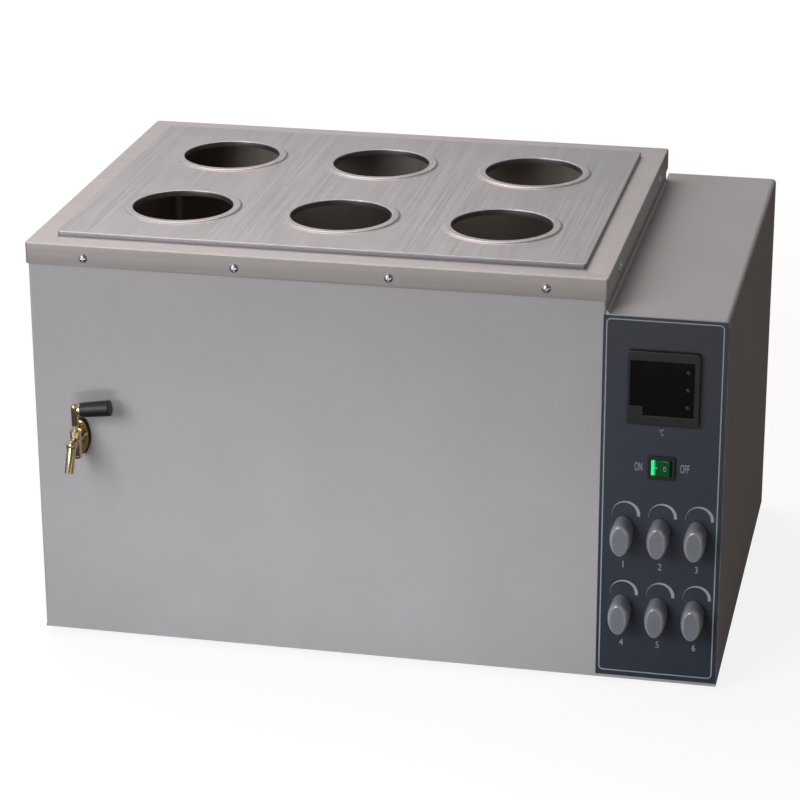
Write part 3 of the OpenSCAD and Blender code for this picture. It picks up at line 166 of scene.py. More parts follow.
class BathColours(bpy.types.PropertyGroup):
    """Colours of the finishes"""

    paint: colour("Paint", "Powder coat of the cabinet", "#A4A5AB")
    lid: colour("Lid steel", "Brushed stainless of the lid", "#A9A7AC")
    rim: colour("Rim steel", "Stainless of the rim", "#ABA8AA")
    # Slightly darker steel that paints the shade round the foot of each ring
    seam: colour("Seam steel", "Stainless in the pressed corner round a ring", "#A5A09D")
    tank: colour("Tank steel", "Stainless of the tank, dulled by hot water", "#B0AAA4")
    zinc: colour("Zinc", "Bright zinc plate of the screws", "#B4BCC6")
    brass: colour("Brass", "Polished brass of the tap", "#CDBF99")
    black: colour("Black plastic", "Black mouldings", "#0D0D10")
    rubber: colour("Rubber", "Gasket, washer and feet", "#161617")
    window: colour("Window", "Smoked window of the controller", "#040405")
    panel: colour("Panel", "Printed ground of the control panel", "#272E3A")
    ink: colour("Ink", "Pale printing ink of the panel", "#8C98A4")
    knob: colour("Knob", "Metallic lacquer of the knobs", "#A0A3AC")
    knob_face: colour("Knob face", "Satin front face of the knobs", "#686C77")
    lens: colour("Rocker", "Green lens of the rocker", "#04381A")
    # Colour of the painted highlight of the front light at the rocker's left end
    lens_lit: colour("Rocker lit", "Lit end of the rocker", "#16E878")
    wool: colour("Wool", "Mineral wool", "#CFC29A")
    board: colour("Board", "Solder mask of the speed board", "#1C5A37")
    motor: colour("Motor", "Black enamel of the motors", "#1E1E21")
    bead: colour("Bead", "Grey sealing bead", "#A7A39D")


class BathStage(bpy.types.PropertyGroup):
    """Camera, light and paper"""

    camera_place: spot("Camera place", "Where the camera stands", (0.5031, -2.4071, 1.1136))
    camera_aim: spot("Camera aim", "Point that the camera looks at", (0.0102, -0.1252, 0.2191))
    camera_roll: level("Camera roll", "Turn of the camera about its view", math.radians(-0.2), "ROTATION")
    camera_lens: level("Lens", "Focal length on a sensor 36 mm wide", 129.46, "CAMERA")
    key_place: spot("Key place", "Where the soft front light stands", (-1.0, -2.0, 1.15))
    key_size: level("Key size", "Width and height of the front light", 1.2, "LENGTH")
    key_power: level("Key power", "Power of the front light", 36, "POWER")
    top_place: spot("Top place", "Where the soft top light hangs", (-0.5, 0.55, 1.9))
    top_size: level("Top size", "Width and height of the top light", 1.3, "LENGTH")
    top_power: level("Top power", "Power of the top light", 22, "POWER")
    top_tint: colour("Top tint", "Colour of the top light", "#FFF3EA")
    low_place: spot("Low place", "Where the low strip of fill light lies", (-0.05, -0.9, 0.06))
    low_size: level("Low size", "Width of the low strip of fill light", 0.7, "LENGTH")
    low_height: level("Low height", "Height of the low strip of fill light", 0.1, "LENGTH")
    low_spread: level("Low spread", "Angle over which the low strip shines", math.radians(60), "ROTATION")
    low_power: level("Low power", "Power of the low strip", 0.4, "POWER")
    ambient: level("Ambient", "Even light from all round", 0.15)
    ambient_tint: colour("Ambient tint", "Colour of the even light", "#FFEFDF")
    paper_size: level("Paper size", "Half the width of the paper", 20, "LENGTH")
    paper: colour("Paper", "Paper under and behind the bath", "#F4F4F4")
    bounce: colour("Bounce", "Paper as it lights the bath", "#8A8078")
    mirror_near: colour("Mirrored near", "Paper near the bath as reflections see it", "#484340")
    mirror_front: colour("Mirrored front", "Paper in front as reflections see it", "#F4ECE2")
    mirror_level: level("Mirror level", "Strength of the paper in reflections", 1.5)
    glow: level("Paper glow", "Share of its own light in the paper that the camera sees", 0.8)
    glow_near: level("Glow near", "Strength of the paper's own light near the bath", 1.08)
    glow_far: level("Glow far", "Strength of the paper's own light further out", 1.25)


def size():
    return bpy.context.scene.bath_sizes


def tint():
    return bpy.context.scene.bath_colours


# Materials

def add(tree, kind, sockets=None, **settings):
    """Adds a shader node with its settings; a socket takes a value, an output or a node's first output."""
    made = tree.nodes.new("ShaderNode" + kind)
    for name, value in settings.items():
        setattr(made, name, value)
    for name, value in (sockets or {}).items():
        if isinstance(value, bpy.types.Node):
            value = value.outputs[0]
        if isinstance(value, bpy.types.NodeSocket):
            tree.links.new(value, made.inputs[name])
        else:
            made.inputs[name].default_value = value
    return made


def per_metre(millimetres):
    """Texture scale at which one feature of a noise takes that many millimetres."""
    return 1 / (millimetres * MM)


def begin(name):
    """A new material; returns it, its empty tree and its Object coordinates."""
    made = bpy.data.materials.new(name)
    made.use_nodes = True
    tree = made.node_tree
    tree.nodes.clear()
    return made, tree, add(tree, "TexCoord").outputs["Object"]


def end(made, sockets):
    """Ends a material in a Principled shader with those sockets, and returns it."""
    tree = made.node_tree
    add(tree, "OutputMaterial", {"Surface": add(tree, "BsdfPrincipled", sockets)})
    return made


def once(maker):
    """Makes a material at its first use and gives the same one afterwards."""
    made = {}

    def ask(*values):
        if values not in made:
            made[values] = maker(*values)
        return made[values]

    return ask


def shade(value, factor):
    """A colour made lighter or darker."""
    return tuple(min(1.0, channel * factor) for channel in value[:3]) + (1.0,)


# Polyester powder coat, sprayed and baked on sheet steel: satin, with a fine orange peel that breaks up
# the highlight, and a faint cloudiness. The peel is really 0.4 mm and is drawn coarser so that it shows.
@once
def powder_coat():
    made, tree, place = begin("powder_coated_steel")
    dark, light = shade(tint().paint, 0.93), shade(tint().paint, 1.05)
    peel = add(tree, "TexNoise", {"Vector": place, "Scale": per_metre(1.0), "Detail": 3.0})
    cloud = add(tree, "TexNoise", {"Vector": place, "Scale": per_metre(70), "Detail": 4.0})
    speck = add(tree, "MapRange", {"Value": peel, "From Min": 0.3, "From Max": 0.7})
    ground = add(tree, "MixRGB", {"Fac": speck, "Color1": dark, "Color2": light})
    veil = add(tree, "MixRGB", {"Fac": cloud, "Color1": linear("#F4F2EF"), "Color2": WHITE})
    both = add(tree, "MixRGB", {"Fac": 1.0, "Color1": ground, "Color2": veil}, blend_type="MULTIPLY")
    gloss = add(tree, "MapRange", {"Value": cloud, "To Min": 0.44, "To Max": 0.58})
    bump = add(tree, "Bump", {"Height": peel, "Strength": 0.5, "Distance": 0.05 * MM})
    return end(made, {"Base Color": both, "Roughness": gloss, "Normal": bump, "IOR": 1.5})


# Stainless sheet brushed with a belt: fine streaks along one direction that spread the reflection across
# themselves, over the slow waviness of thin sheet. Streaks are really 0.1 mm wide and are drawn coarser.
@once
def brushed_stainless(name, base, grain, gloss_low, gloss_high):
    made, tree, place = begin(name)
    dark, light = shade(base, 0.94), shade(base, 1.06)
    drawn_out = []
    for across, along, detail in ((0.9, 140, 3.0), (9, 500, 2.0)):
        scale = tuple(per_metre(along if axis == grain else across) for axis in "XYZ")
        mapped = add(tree, "Mapping", {"Vector": place, "Scale": scale})
        drawn_out.append(add(tree, "TexNoise", {"Vector": mapped, "Scale": 1.0, "Detail": detail}))
    streak, band = drawn_out
    wave = add(tree, "TexNoise", {"Vector": place, "Scale": per_metre(120), "Detail": 1.0})
    smear = add(tree, "TexNoise", {
        "Vector": place, "Scale": per_metre(28), "Detail": 5.0, "Distortion": 0.6
    })
    sharp = add(tree, "MapRange", {"Value": streak, "From Min": 0.34, "From Max": 0.66})
    metal = add(tree, "MixRGB", {"Fac": sharp, "Color1": dark, "Color2": light})
    worn = add(tree, "MixRGB", {"Fac": band, "Color1": linear("#F6F5F4"), "Color2": WHITE})
    both = add(tree, "MixRGB", {"Fac": 1.0, "Color1": metal, "Color2": worn}, blend_type="MULTIPLY")
    gloss = add(tree, "MapRange", {"Value": sharp, "To Min": gloss_low, "To Max": gloss_high})
    dull = add(tree, "MapRange", {"Value": smear, "From Min": 0.42, "From Max": 0.72, "To Max": 0.04})
    rough = add(tree, "Math", {0: gloss, 1: dull}, operation="ADD")
    slow = add(tree, "Bump", {"Height": wave, "Strength": 1.0, "Distance": 0.3 * MM})
    fine = add(tree, "Bump", {"Height": streak, "Strength": 0.35, "Distance": 0.04 * MM, "Normal": slow})
    return end(made, {"Base Color": both, "Roughness": rough, "Normal": fine, "Metallic": 1.0})


def plain_stainless():
    return brushed_stainless("drawn_stainless", tuple(tint().rim), "X", 0.48, 0.6)


def lid_stainless():
    return brushed_stainless("brushed_stainless", tuple(tint().lid), "Y", 0.34, 0.46)


# Darker pressed stainless that paints the shade round the rings' feet
def seam_stainless():
    return brushed_stainless("pressed_stainless", tuple(tint().seam), "Y", 0.45, 0.55)


def tank_stainless():
    return brushed_stainless("dulled_stainless", tuple(tint().tank), "Z", 0.42, 0.55)


# Polished or plated metal: a clear reflection, broken a little by handling marks and soft dull patches.
@once
def bright_metal(name, base, gloss_low, gloss_high):
    made, tree, place = begin(name)
    patch = add(tree, "TexNoise", {"Vector": place, "Scale": per_metre(6), "Detail": 4.0})
    marks = add(tree, "TexNoise", {"Vector": place, "Scale": per_metre(0.9), "Detail": 3.0})
    metal = add(tree, "MixRGB", {"Fac": patch, "Color1": shade(base, 0.86), "Color2": shade(base, 1.1)})
    gloss = add(tree, "MapRange", {"Value": patch, "To Min": gloss_low, "To Max": gloss_high})
    bump = add(tree, "Bump", {"Height": marks, "Strength": 0.25, "Distance": 0.02 * MM})
    return end(made, {"Base Color": metal, "Roughness": gloss, "Normal": bump, "Metallic": 1.0})


def zinc_plate():
    return bright_metal("zinc_plated_steel", tuple(tint().zinc), 0.2, 0.34)


def polished_brass():
    return bright_metal("polished_brass", tuple(tint().brass), 0.12, 0.26)


# Moulded plastic: a coloured ground with slight mottling and a fine spark eroded grain. The grain is really
# about 0.1 mm and is drawn coarser. A lacquer with metal flake over it mirrors its surroundings a little.
# Grain and depth are in millimetres.
@once
def moulded(name, base, gloss_low, gloss_high, grain, depth, flake=0.0):
    made, tree, place = begin(name)
    mottle = add(tree, "TexNoise", {"Vector": place, "Scale": per_metre(9), "Detail": 4.0})
    skin = add(tree, "TexNoise", {"Vector": place, "Scale": per_metre(grain), "Detail": 2.0})
    ground = add(tree, "MixRGB", {"Fac": mottle, "Color1": shade(base, 0.9), "Color2": shade(base, 1.12)})
    gloss = add(tree, "MapRange", {"Value": mottle, "To Min": gloss_low, "To Max": gloss_high})
    bump = add(tree, "Bump", {"Height": skin, "Strength": 0.4, "Distance": depth * MM})
    return end(made, {
        "Base Color": ground, "Roughness": gloss, "Normal": bump, "IOR": 1.53, "Metallic": flake
    })


def black_plastic():
    return moulded("black_abs", tuple(tint().black), 0.42, 0.55, 0.6, 0.03)


def nitrile_rubber():
    return moulded("nitrile_rubber", tuple(tint().rubber), 0.62, 0.8, 0.8, 0.05)


def knob_plastic():
    return moulded("lacquered_knob_abs", tuple(tint().knob), 0.07, 0.11, 3.0, 0.004, 0.35)


def knob_satin():
    return moulded("satin_knob_face", tuple(tint().knob_face), 0.42, 0.52, 0.6, 0.02)


def smoked_window():
    return moulded("smoked_acrylic", tuple(tint().window), 0.05, 0.12, 5.0, 0.004)


def motor_enamel():
    return moulded("black_enamel", tuple(tint().motor), 0.3, 0.45, 1.2, 0.02)


def solder_mask():
    return moulded("solder_mask_board", tuple(tint().board), 0.25, 0.4, 1.5, 0.01)


def mineral_wool():
    return moulded("mineral_wool", tuple(tint().wool), 0.9, 1.0, 2.5, 1.2)


def sealing_bead():
    return moulded("silicone_bead", tuple(tint().bead), 0.35, 0.5, 3.0, 0.08)


def panel_ink():
    return moulded("screen_printed_ink", tuple(tint().ink), 0.45, 0.6, 0.7, 0.01)


# Screen printed polyester film on a plate: a satin dark ground with a fine texture and a slow unevenness.
@once
def printed_film():
    made, tree, place = begin("printed_polyester_film")
    dark, light = shade(tint().panel, 0.86), shade(tint().panel, 1.14)
    grain = add(tree, "TexNoise", {"Vector": place, "Scale": per_metre(0.9), "Detail": 2.0})
    cloud = add(tree, "TexNoise", {"Vector": place, "Scale": per_metre(55), "Detail": 3.0})
    speck = add(tree, "MapRange", {"Value": grain, "From Min": 0.3, "From Max": 0.7})
    ground = add(tree, "MixRGB", {"Fac": speck, "Color1": dark, "Color2": light})
    veil = add(tree, "MixRGB", {"Fac": cloud, "Color1": linear("#ECEEF4"), "Color2": WHITE})
    both = add(tree, "MixRGB", {"Fac": 1.0, "Color1": ground, "Color2": veil}, blend_type="MULTIPLY")
    gloss = add(tree, "MapRange", {"Value": cloud, "To Min": 0.42, "To Max": 0.55})
    bump = add(tree, "Bump", {"Height": grain, "Strength": 0.35, "Distance": 0.03 * MM})
    return end(made, {"Base Color": both, "Roughness": gloss, "Normal": bump, "IOR": 1.55})


# Green polycarbonate lens of a lit switch that glows deep green, with a painted highlight of the front light at
# its left end that glows as well: bright there, deep green towards the other end, with a clear gloss on top.
@once
def lit_lens():
    made, tree, place = begin("lit_green_polycarbonate_painted_highlight")
    low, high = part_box("switch_rocker")
    bright_end, dark_end = low.x + 1.5 * MM, low.x + 4.5 * MM
    dark, light = shade(tint().lens, 0.7), shade(tint().lens, 1.3)
    across = add(tree, "SeparateXYZ", {"Vector": place}).outputs["X"]
    # Mask of the painted highlight: full at the left end, gone 4.5 mm in
    lamp = add(tree, "MapRange", {
        "Value": across, "From Min": bright_end, "From Max": dark_end, "To Min": 1.0, "To Max": 0.0
    }, interpolation_type="SMOOTHSTEP")
    ripple = add(tree, "TexNoise", {"Vector": place, "Scale": per_metre(3), "Detail": 2.0})
    deep = add(tree, "MixRGB", {"Fac": ripple, "Color1": dark, "Color2": light})
    # The painted highlight's colour at the left end, which glows with the rest of the lens
    glow = add(tree, "MixRGB", {"Fac": lamp, "Color1": deep, "Color2": tuple(tint().lens_lit)})
    return end(made, {
        "Base Color": glow, "Emission Color": glow, "Emission Strength": 0.6, "Roughness": 0.16, "IOR": 1.58
    })


SLOT_FINISH = {
    "paint": powder_coat,
    "zinc": zinc_plate,
    "brass": polished_brass,
    "black_rubber": nitrile_rubber,
    "black_plastic": black_plastic,
    "panel_print": printed_film,
    "window": smoked_window,
    "wool": mineral_wool,
    "board": solder_mask,
    "motor": motor_enamel,
}


# Mesh helpers

def wire(bm, corners, closed=False):
    """A wire through corners of (point, reach), each rounded by an arc that takes reach of its two edges."""
    before = set(bm.edges)
    verts = [bm.verts.new(point) for point, reach in corners]
    ends = verts[1:] + verts[:1] if closed else verts[1:]
    for pair in zip(verts, ends):
        bm.edges.new(pair)
    for vert, (point, reach) in zip(verts, corners):
        if reach:
            bmesh.ops.bevel(
                bm, geom=[vert], offset=reach, offset_type="OFFSET", segments=ARC_STEPS, profile=0.5,
                affect="VERTICES", material=-1,
            )
    return [edge for edge in bm.edges if edge not in before]


def rectangle(bm, low, high, reach, place):
    """A closed wire round a rectangle with round corners; place turns its two numbers into a point."""
    corners = ((low[0], low[1]), (high[0], low[1]), (high[0], high[1]), (low[0], high[1]))
    return wire(bm, [(place(*corner), reach) for corner in corners], closed=True)


def lathe(bm, section, centre, axis, steps):
    """Spins a section of (radius, height, reach) corners round an axis; returns the faces."""
    before = set(bm.faces)
    side = axis.orthogonal().normalized()
    edges = wire(bm, [(centre + side * radius + axis * height, reach) for radius, height, reach in section])
    verts = list({vert for edge in edges for vert in edge.verts})
    bmesh.ops.spin(
        bm, geom=verts + edges, cent=centre, axis=axis, angle=math.tau, steps=steps, use_merge=True,
        dvec=(0, 0, 0),
    )
    return [face for face in bm.faces if face not in before]


def verts_of(result):
    return [item for item in result["geom"] if isinstance(item, bmesh.types.BMVert)]


def faces_of(result):
    return [item for item in result["geom"] if isinstance(item, bmesh.types.BMFace)]


def fill(bm, edges, normal):
    """Flat faces between closed wires."""
    return faces_of(
        bmesh.ops.triangle_fill(bm, use_beauty=True, use_dissolve=False, edges=edges, normal=normal)
    )


def thicken(bm, faces, vec):
    """Draws flat faces out to a solid; returns the verts of its far side."""
    moved = verts_of(bmesh.ops.extrude_face_region(bm, geom=faces))
    bmesh.ops.translate(bm, verts=moved, vec=vec)
    return moved


def turn_down(bm, edges, drop):
    """Draws a sheet's outer edges down to a skirt."""
    moved = verts_of(bmesh.ops.extrude_edge_only(bm, edges=edges))
    bmesh.ops.translate(bm, verts=moved, vec=-drop * UP)


def round_edges(bm, edges, reach, steps):
    bmesh.ops.bevel(
        bm, geom=edges, offset=reach, offset_type="OFFSET", segments=steps, profile=0.5, affect="EDGES",
        material=-1,
    )


def settle(bm):
    """Merges doubles and turns the faces outwards."""
    bmesh.ops.remove_doubles(bm, verts=bm.verts[:], dist=SAME_POINT)
    bmesh.ops.recalc_face_normals(bm, faces=bm.faces[:])


def piece(bm, name, finishes, body, replaces=(), sheet=0):
    """An object at the origin, with its place in its mesh, that rides on a body.

    An open sheet is thickened inwards.
    """
    mesh = bpy.data.meshes.new(name)
    bm.to_mesh(mesh)
    bm.free()
    for finish in finishes:
        mesh.materials.append(finish)
    mesh.shade_smooth()
    mesh.set_sharp_from_angle(angle=SMOOTH_ANGLE)
    made = bpy.data.objects.new(name, mesh)
    bpy.context.scene.collection.objects.link(made)
    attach(made, body)
    if replaces:
        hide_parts(*replaces)
    if sheet:
        solid = made.modifiers.new("Sheet", "SOLIDIFY")
        solid.thickness = sheet
        solid.offset = -1
        solid.use_even_offset = True
    flat = made.modifiers.new("Normals", "WEIGHTED_NORMAL")
    flat.keep_sharp = True


def dress(names, edge, finish=None):
    """Gives CAD nodes their finish; unless edge is zero, joins their flat faces and rounds their edges."""
    for name in names:
        node = frame["nodes"][name]
        chosen = finish or SLOT_FINISH[SLOTS[name]]()
        if node.material_slots:
            for place in node.material_slots:
                place.material = chosen
        else:
            node.data.materials.append(chosen)
        if not edge:
            continue
        weld = node.modifiers.new("Weld", "WELD")
        weld.merge_threshold = SAME_POINT
        whole = node.modifiers.new("Flat faces", "DECIMATE")
        whole.decimate_type = "DISSOLVE"
        whole.angle_limit = FLAT_ANGLE
        soft = node.modifiers.new("Edges", "BEVEL")
        soft.width = edge
        soft.segments = EDGE_STEPS
        soft.limit_method = "ANGLE"
        soft.angle_limit = SMOOTH_ANGLE


def joint_place(name):
    return Vector(JOINTS[name]["pos_m"])


# Pieces

class BATH_OT_cabinet(bpy.types.Operator):
    """Finishes the painted sheets, their screws and the feet, and lays the sealing bead"""

    bl_idname = "bath.cabinet"
    bl_label = "Cabinet"

    def execute(self, context):
        dress(
            ["housing_wrap", "rear_panel", "base_plate", "control_front", "control_cover", "control_rear"],
            size().sheet_edge,
        )
        dress(["rear_screws", "base_fixings", "control_screws", "feet"], size().small_edge)
        self.seal()
        return {"FINISHED"}

    def seal(self):
        """A quarter round bead in the corner between the cabinet's side and the control box's top."""
        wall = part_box("housing_wrap")[1]
        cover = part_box("control_cover")[1]
        rear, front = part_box("rear_panel")[0].y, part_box("housing_wrap")[0].y
        bead = size().bead
        rounding = bead * 0.95
        section = (
            ((wall.x, rear, cover.z), 0),
            ((wall.x + bead, rear, cover.z), 0),
            ((wall.x + bead, rear, cover.z + bead), rounding),
            ((wall.x, rear, cover.z + bead), 0),
        )
        bm = bmesh.new()
        faces = fill(bm, wire(bm, section, closed=True), -OUT)
        thicken(bm, faces, (0, front - rear, 0))
        settle(bm)
        piece(bm, "sealing_bead", [sealing_bead()], "cabinet")


class BATH_OT_rim(bpy.types.Operator):
    """Models the folded stainless rim and finishes its screws"""

    bl_idname = "bath.rim"
    bl_label = "Rim"

    def execute(self, context):
        low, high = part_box("rim_frame")
        middle = sum(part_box("lid"), Vector()) / 2
        half = Vector((size().opening_width / 2, size().opening_depth / 2, 0))
        bm = bmesh.new()
        opening = rectangle(
            bm, middle - half, middle + half, size().opening_corner, lambda x, y: (x, y, high.z)
        )
        fold = rectangle(bm, low, high, size().rim_corner, lambda x, y: (x, y, high.z))
        fill(bm, opening + fold, UP)
        turn_down(bm, fold, high.z - low.z)
        settle(bm)
        round_edges(bm, fold, size().rim_fold, RIM_FOLD_STEPS)
        piece(bm, "rim_sheet", [plain_stainless()], "cabinet", ["rim_frame"], size().rim_sheet)
        dress(["rim_screws"], size().small_edge)
        return {"FINISHED"}


class BATH_OT_lid(bpy.types.Operator):
    """Models the lift off lid with its six raised rings"""

    bl_idname = "bath.lid"
    bl_label = "Lid"

    def execute(self, context):
        low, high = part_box("lid")
        top = high.z - size().ring_rise
        bm = bmesh.new()
        for i in STATIONS:
            place = joint_place(f"rotor_{i}_spin")
            self.ring(bm, Vector((place.x, place.y, top)))
        feet = [
            edge for edge in bm.edges
            if len(edge.link_faces) == 1 and all(abs(vert.co.z - top) < SAME_LEVEL for vert in edge.verts)
        ]
        fold = rectangle(bm, low, high, size().lid_corner, lambda x, y: (x, y, top))
        fill(bm, fold + feet, UP)
        turn_down(bm, fold, size().lid_edge)
        settle(bm)
        round_edges(bm, fold, size().lid_fold, LID_FOLD_STEPS)
        finishes = [lid_stainless(), seam_stainless()]
        piece(bm, "lid_sheet", finishes, "lid", ["lid"], size().lid_sheet)
        dress(["lid_locators"], size().small_edge, plain_stainless())
        return {"FINISHED"}

    def ring(self, bm, centre):
        """A raised ring: foot, slope, top and lip; the foot and the slope take darker steel as painted shade."""
        hole, rise = size().hole_radius, size().ring_rise
        outer = hole + size().ring_width
        foot, slope_out, slope_in, seam = 1.4 * MM, 0.1 * MM, 1.1 * MM, 0.9 * MM
        foot_bend, top_bend = 0.9 * MM, 0.8 * MM
        section = (
            (outer + foot, 0, 0),
            (outer + slope_out, 0, foot_bend),
            (outer - slope_in, rise, top_bend),
            (hole, rise, top_bend),
            (hole, -size().lip_drop, 0),
        )
        for face in lathe(bm, section, centre, UP, ROUND_STEPS):
            # Faces near the foot take the darker steel of the painted shade
            if (face.calc_center_median() - centre).length > outer - seam:
                face.material_index = 1


class BATH_OT_bath(bpy.types.Operator):
    """Finishes the tank, its heater, probe and glands, and the insulation"""

    bl_idname = "bath.bath"
    bl_label = "Bath"

    def execute(self, context):
        dress(["tank", "heater", "probe"], size().small_edge, tank_stainless())
        dress(["wall_glands", "insulation"], size().small_edge)
        return {"FINISHED"}


class BATH_OT_drives(bpy.types.Operator):
    """Finishes the stirrer drives and their wiring"""

    bl_idname = "bath.drives"
    bl_label = "Stirrer drives"

    def execute(self, context):
        rotors = [f"magnet_rotor_{i}" for i in STATIONS]
        dress(rotors + ["stir_motors", "motor_deck", "deck_posts", "deck_nuts"], size().small_edge)
        dress(["motor_screws", "motor_loom", "wire_grommet"], size().small_edge)
        return {"FINISHED"}


class BATH_OT_tap(bpy.types.Operator):
    """Finishes the brass drain tap and its black grip"""

    bl_idname = "bath.tap"
    bl_label = "Drain tap"

    def execute(self, context):
        dress(["tap_body", "tap_plug", "lever_arm", "tap_nut"], size().small_edge)
        dress(["tap_gasket", "tap_washer", "lever_grip"], size().moulded_edge)
        return {"FINISHED"}


class BATH_OT_controller(bpy.types.Operator):
    """Finishes the temperature controller and models its keys"""

    bl_idname = "bath.controller"
    bl_label = "Temperature controller"

    def execute(self, context):
        dress(["controller_case", "controller_clamp"], size().moulded_edge)
        dress(["controller_window"], 0)
        for i in KEYS:
            self.key(i)
        return {"FINISHED"}

    def key(self, i):
        """A slightly crowned stem on a flange that keeps the key in its case."""
        name = f"controller_key_{i}"
        low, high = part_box(name)
        middle = (low + high) / 2
        shoulder, flange_height, flange_bend, crown = 1 * MM, 0.8 * MM, 0.2 * MM, 0.15 * MM
        flange = (high.x - low.x) / 2
        stem = flange - shoulder
        depth = high.y - low.y
        section = (
            (0, depth + crown, 0),
            (stem, depth, size().key_edge),
            (stem, flange_height, 0),
            (flange, flange_height, flange_bend),
            (flange, 0, 0),
            (0, 0, 0),
        )
        bm = bmesh.new()
        lathe(bm, section, Vector((middle.x, high.y, middle.z)), OUT, KEY_STEPS)
        settle(bm)
        piece(bm, f"key_cap_{i}", [black_plastic()], f"key_{i}", [name])


class BATH_OT_switch(bpy.types.Operator):
    """Finishes the power switch and models its lit rocker with its marks"""

    bl_idname = "bath.switch"
    bl_label = "Power switch"

    def execute(self, context):
        dress(["switch_body"], size().moulded_edge)
        half = size().rocker_wide / 2
        reach, dip, back, side = 6.2 * MM, 1.3 * MM, 3 * MM, 1 * MM
        end_bend, dip_bend, rim_bend = 0.7 * MM, 2.5 * MM, 0.5 * MM
        tilt = Matrix.Rotation(ROCKER_TILT, 4, "Z")
        turn = Matrix.Translation(joint_place("power_rocker")) @ tilt
        outline = (
            ((-half, -reach), end_bend),
            ((0, dip - reach), dip_bend),
            ((half, -reach), end_bend),
            ((half, -side), 0),
            ((half / 2, back), 0),
            ((-half / 2, back), 0),
            ((-half, -side), 0),
        )
        foot = -size().rocker_high / 2
        bm = bmesh.new()
        wires = wire(bm, [((x, y, foot), bend) for (x, y), bend in outline], closed=True)
        ends = fill(bm, wires, UP)
        bmesh.ops.dissolve_faces(bm, faces=ends)
        thicken(bm, bm.faces[:], size().rocker_high * UP)
        settle(bm)
        sharp = math.radians(69)
        rims = [edge for edge in bm.edges if edge.calc_face_angle(0) > sharp and edge.verts[0].co.y < 0]
        round_edges(bm, rims, rim_bend, EDGE_STEPS)
        bmesh.ops.transform(bm, matrix=turn, verts=bm.verts[:])
        piece(bm, "rocker_lens", [lit_lens()], "rocker", ["switch_rocker"])
        self.marks(turn, half, reach, dip)
        return {"FINISHED"}

    def marks(self, turn, half, reach, dip):
        """A dash on the pressed half and a ring on the other, printed on the slopes."""
        bm = bmesh.new()
        slope = math.atan2(dip, half)
        for side, mark in ((-1, self.dash), (1, self.ring)):
            place = Vector((side * half * 0.5, -reach + dip * 0.5 - size().print_rise / 2, 0))
            lean = Matrix.Translation(place) @ Matrix.Rotation(-side * slope, 4, "Z")
            bmesh.ops.transform(bm, matrix=turn @ lean, verts=mark(bm))
        settle(bm)
        piece(bm, "rocker_marks", [panel_ink()], "rocker")

    def dash(self, bm):
        wide, high = 3.2 * MM, 0.8 * MM
        made = bmesh.ops.create_cube(bm, size=1)["verts"]
        bmesh.ops.scale(bm, verts=made, vec=(wide, size().print_rise, high))
        return made

    def ring(self, bm):
        """An upright oval ring."""
        narrow, tall = 0.8, 1.25
        made = []
        for radius in (1.1 * MM, 1.7 * MM):
            made += bmesh.ops.create_circle(bm, segments=MARK_STEPS, radius=radius)["verts"]
        rings = list({edge for vert in made for edge in vert.link_edges})
        band = bmesh.ops.bridge_loops(bm, edges=rings)["faces"]
        made += thicken(bm, band, size().print_rise * UP)
        stretch = Matrix.Rotation(math.pi / 2, 4, "X") @ Matrix.Diagonal((narrow, tall, 1, 1))
        bmesh.ops.transform(bm, matrix=stretch, verts=made)
        return made


class BATH_OT_knobs(bpy.types.Operator):
    """Models the six oval speed knobs and finishes what is behind them"""

    bl_idname = "bath.knobs"
    bl_label = "Speed knobs"

    def execute(self, context):
        for i in STATIONS:
            self.knob(i)
        dress(["speed_pots", "pot_nuts", "board_standoffs"], size().small_edge)
        dress(["speed_board", "board_parts"], size().small_edge)
        return {"FINISHED"}

    def knob(self, i):
        name = f"speed_knob_{i}"
        low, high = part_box(name)
        place = joint_place(f"knob_{i}_turn")
        base = place.y - size().knob_lift
        bm = bmesh.new()
        loops = [self.ring(bm, place, base, *ring) for ring in self.section(base - low.y)]
        for near, far in zip(loops, loops[1:]):
            bmesh.ops.bridge_loops(bm, edges=near + far)
        bmesh.ops.contextual_create(bm, geom=loops[0])
        for face in bmesh.ops.contextual_create(bm, geom=loops[-1])["faces"]:
            face.material_index = 1
        self.stem(bm, place, base - size().knob_hollow, high.y)
        settle(bm)
        piece(bm, f"knob_{i}_cap", [knob_plastic(), knob_satin()], f"knob_{i}", [name])

    def section(self, height):
        """Oval rings as (distance out, length, width), from the hollow's floor over the side to the face."""
        wall = 2 * size().knob_wall
        full = (size().knob_long, size().knob_wide)
        face = (size().face_long, size().face_wide)
        hollow = (full[0] - wall, full[1] - wall)
        rings = [(size().knob_hollow, *hollow), (0, *hollow), (0, *full), (size().knob_side, *full)]
        swell = height - size().knob_side
        for step in range(1, KNOB_RINGS + 1):
            part = math.sin(step / KNOB_RINGS * math.pi / 2)
            share = math.sqrt(max(0, 1 - part**KNOB_FULLNESS))
            out = size().knob_side + swell * part
            rings.append((out, *(small + (large - small) * share for small, large in zip(face, full))))
        return rings

    def ring(self, bm, place, base, out, long, wide):
        turn = Matrix.Translation((place.x, base - out, place.z)) @ Matrix.Rotation(math.pi / 2, 4, "X")
        oval = Matrix.Diagonal((wide / 2, long / 2, 1, 1))
        made = bmesh.ops.create_circle(bm, segments=KNOB_STEPS, radius=1, matrix=turn @ oval)["verts"]
        return list({edge for vert in made for edge in vert.link_edges})

    def stem(self, bm, place, front, rear):
        """The pot's shaft, from the knob's hollow to its end behind the panel."""
        middle = Matrix.Translation((place.x, (rear + front) / 2, place.z))
        bmesh.ops.create_cone(
            bm, cap_ends=True, segments=SHAFT_STEPS, radius1=size().shaft / 2, radius2=size().shaft / 2,
            depth=rear - front, matrix=middle @ Matrix.Rotation(math.pi / 2, 4, "X"),
        )


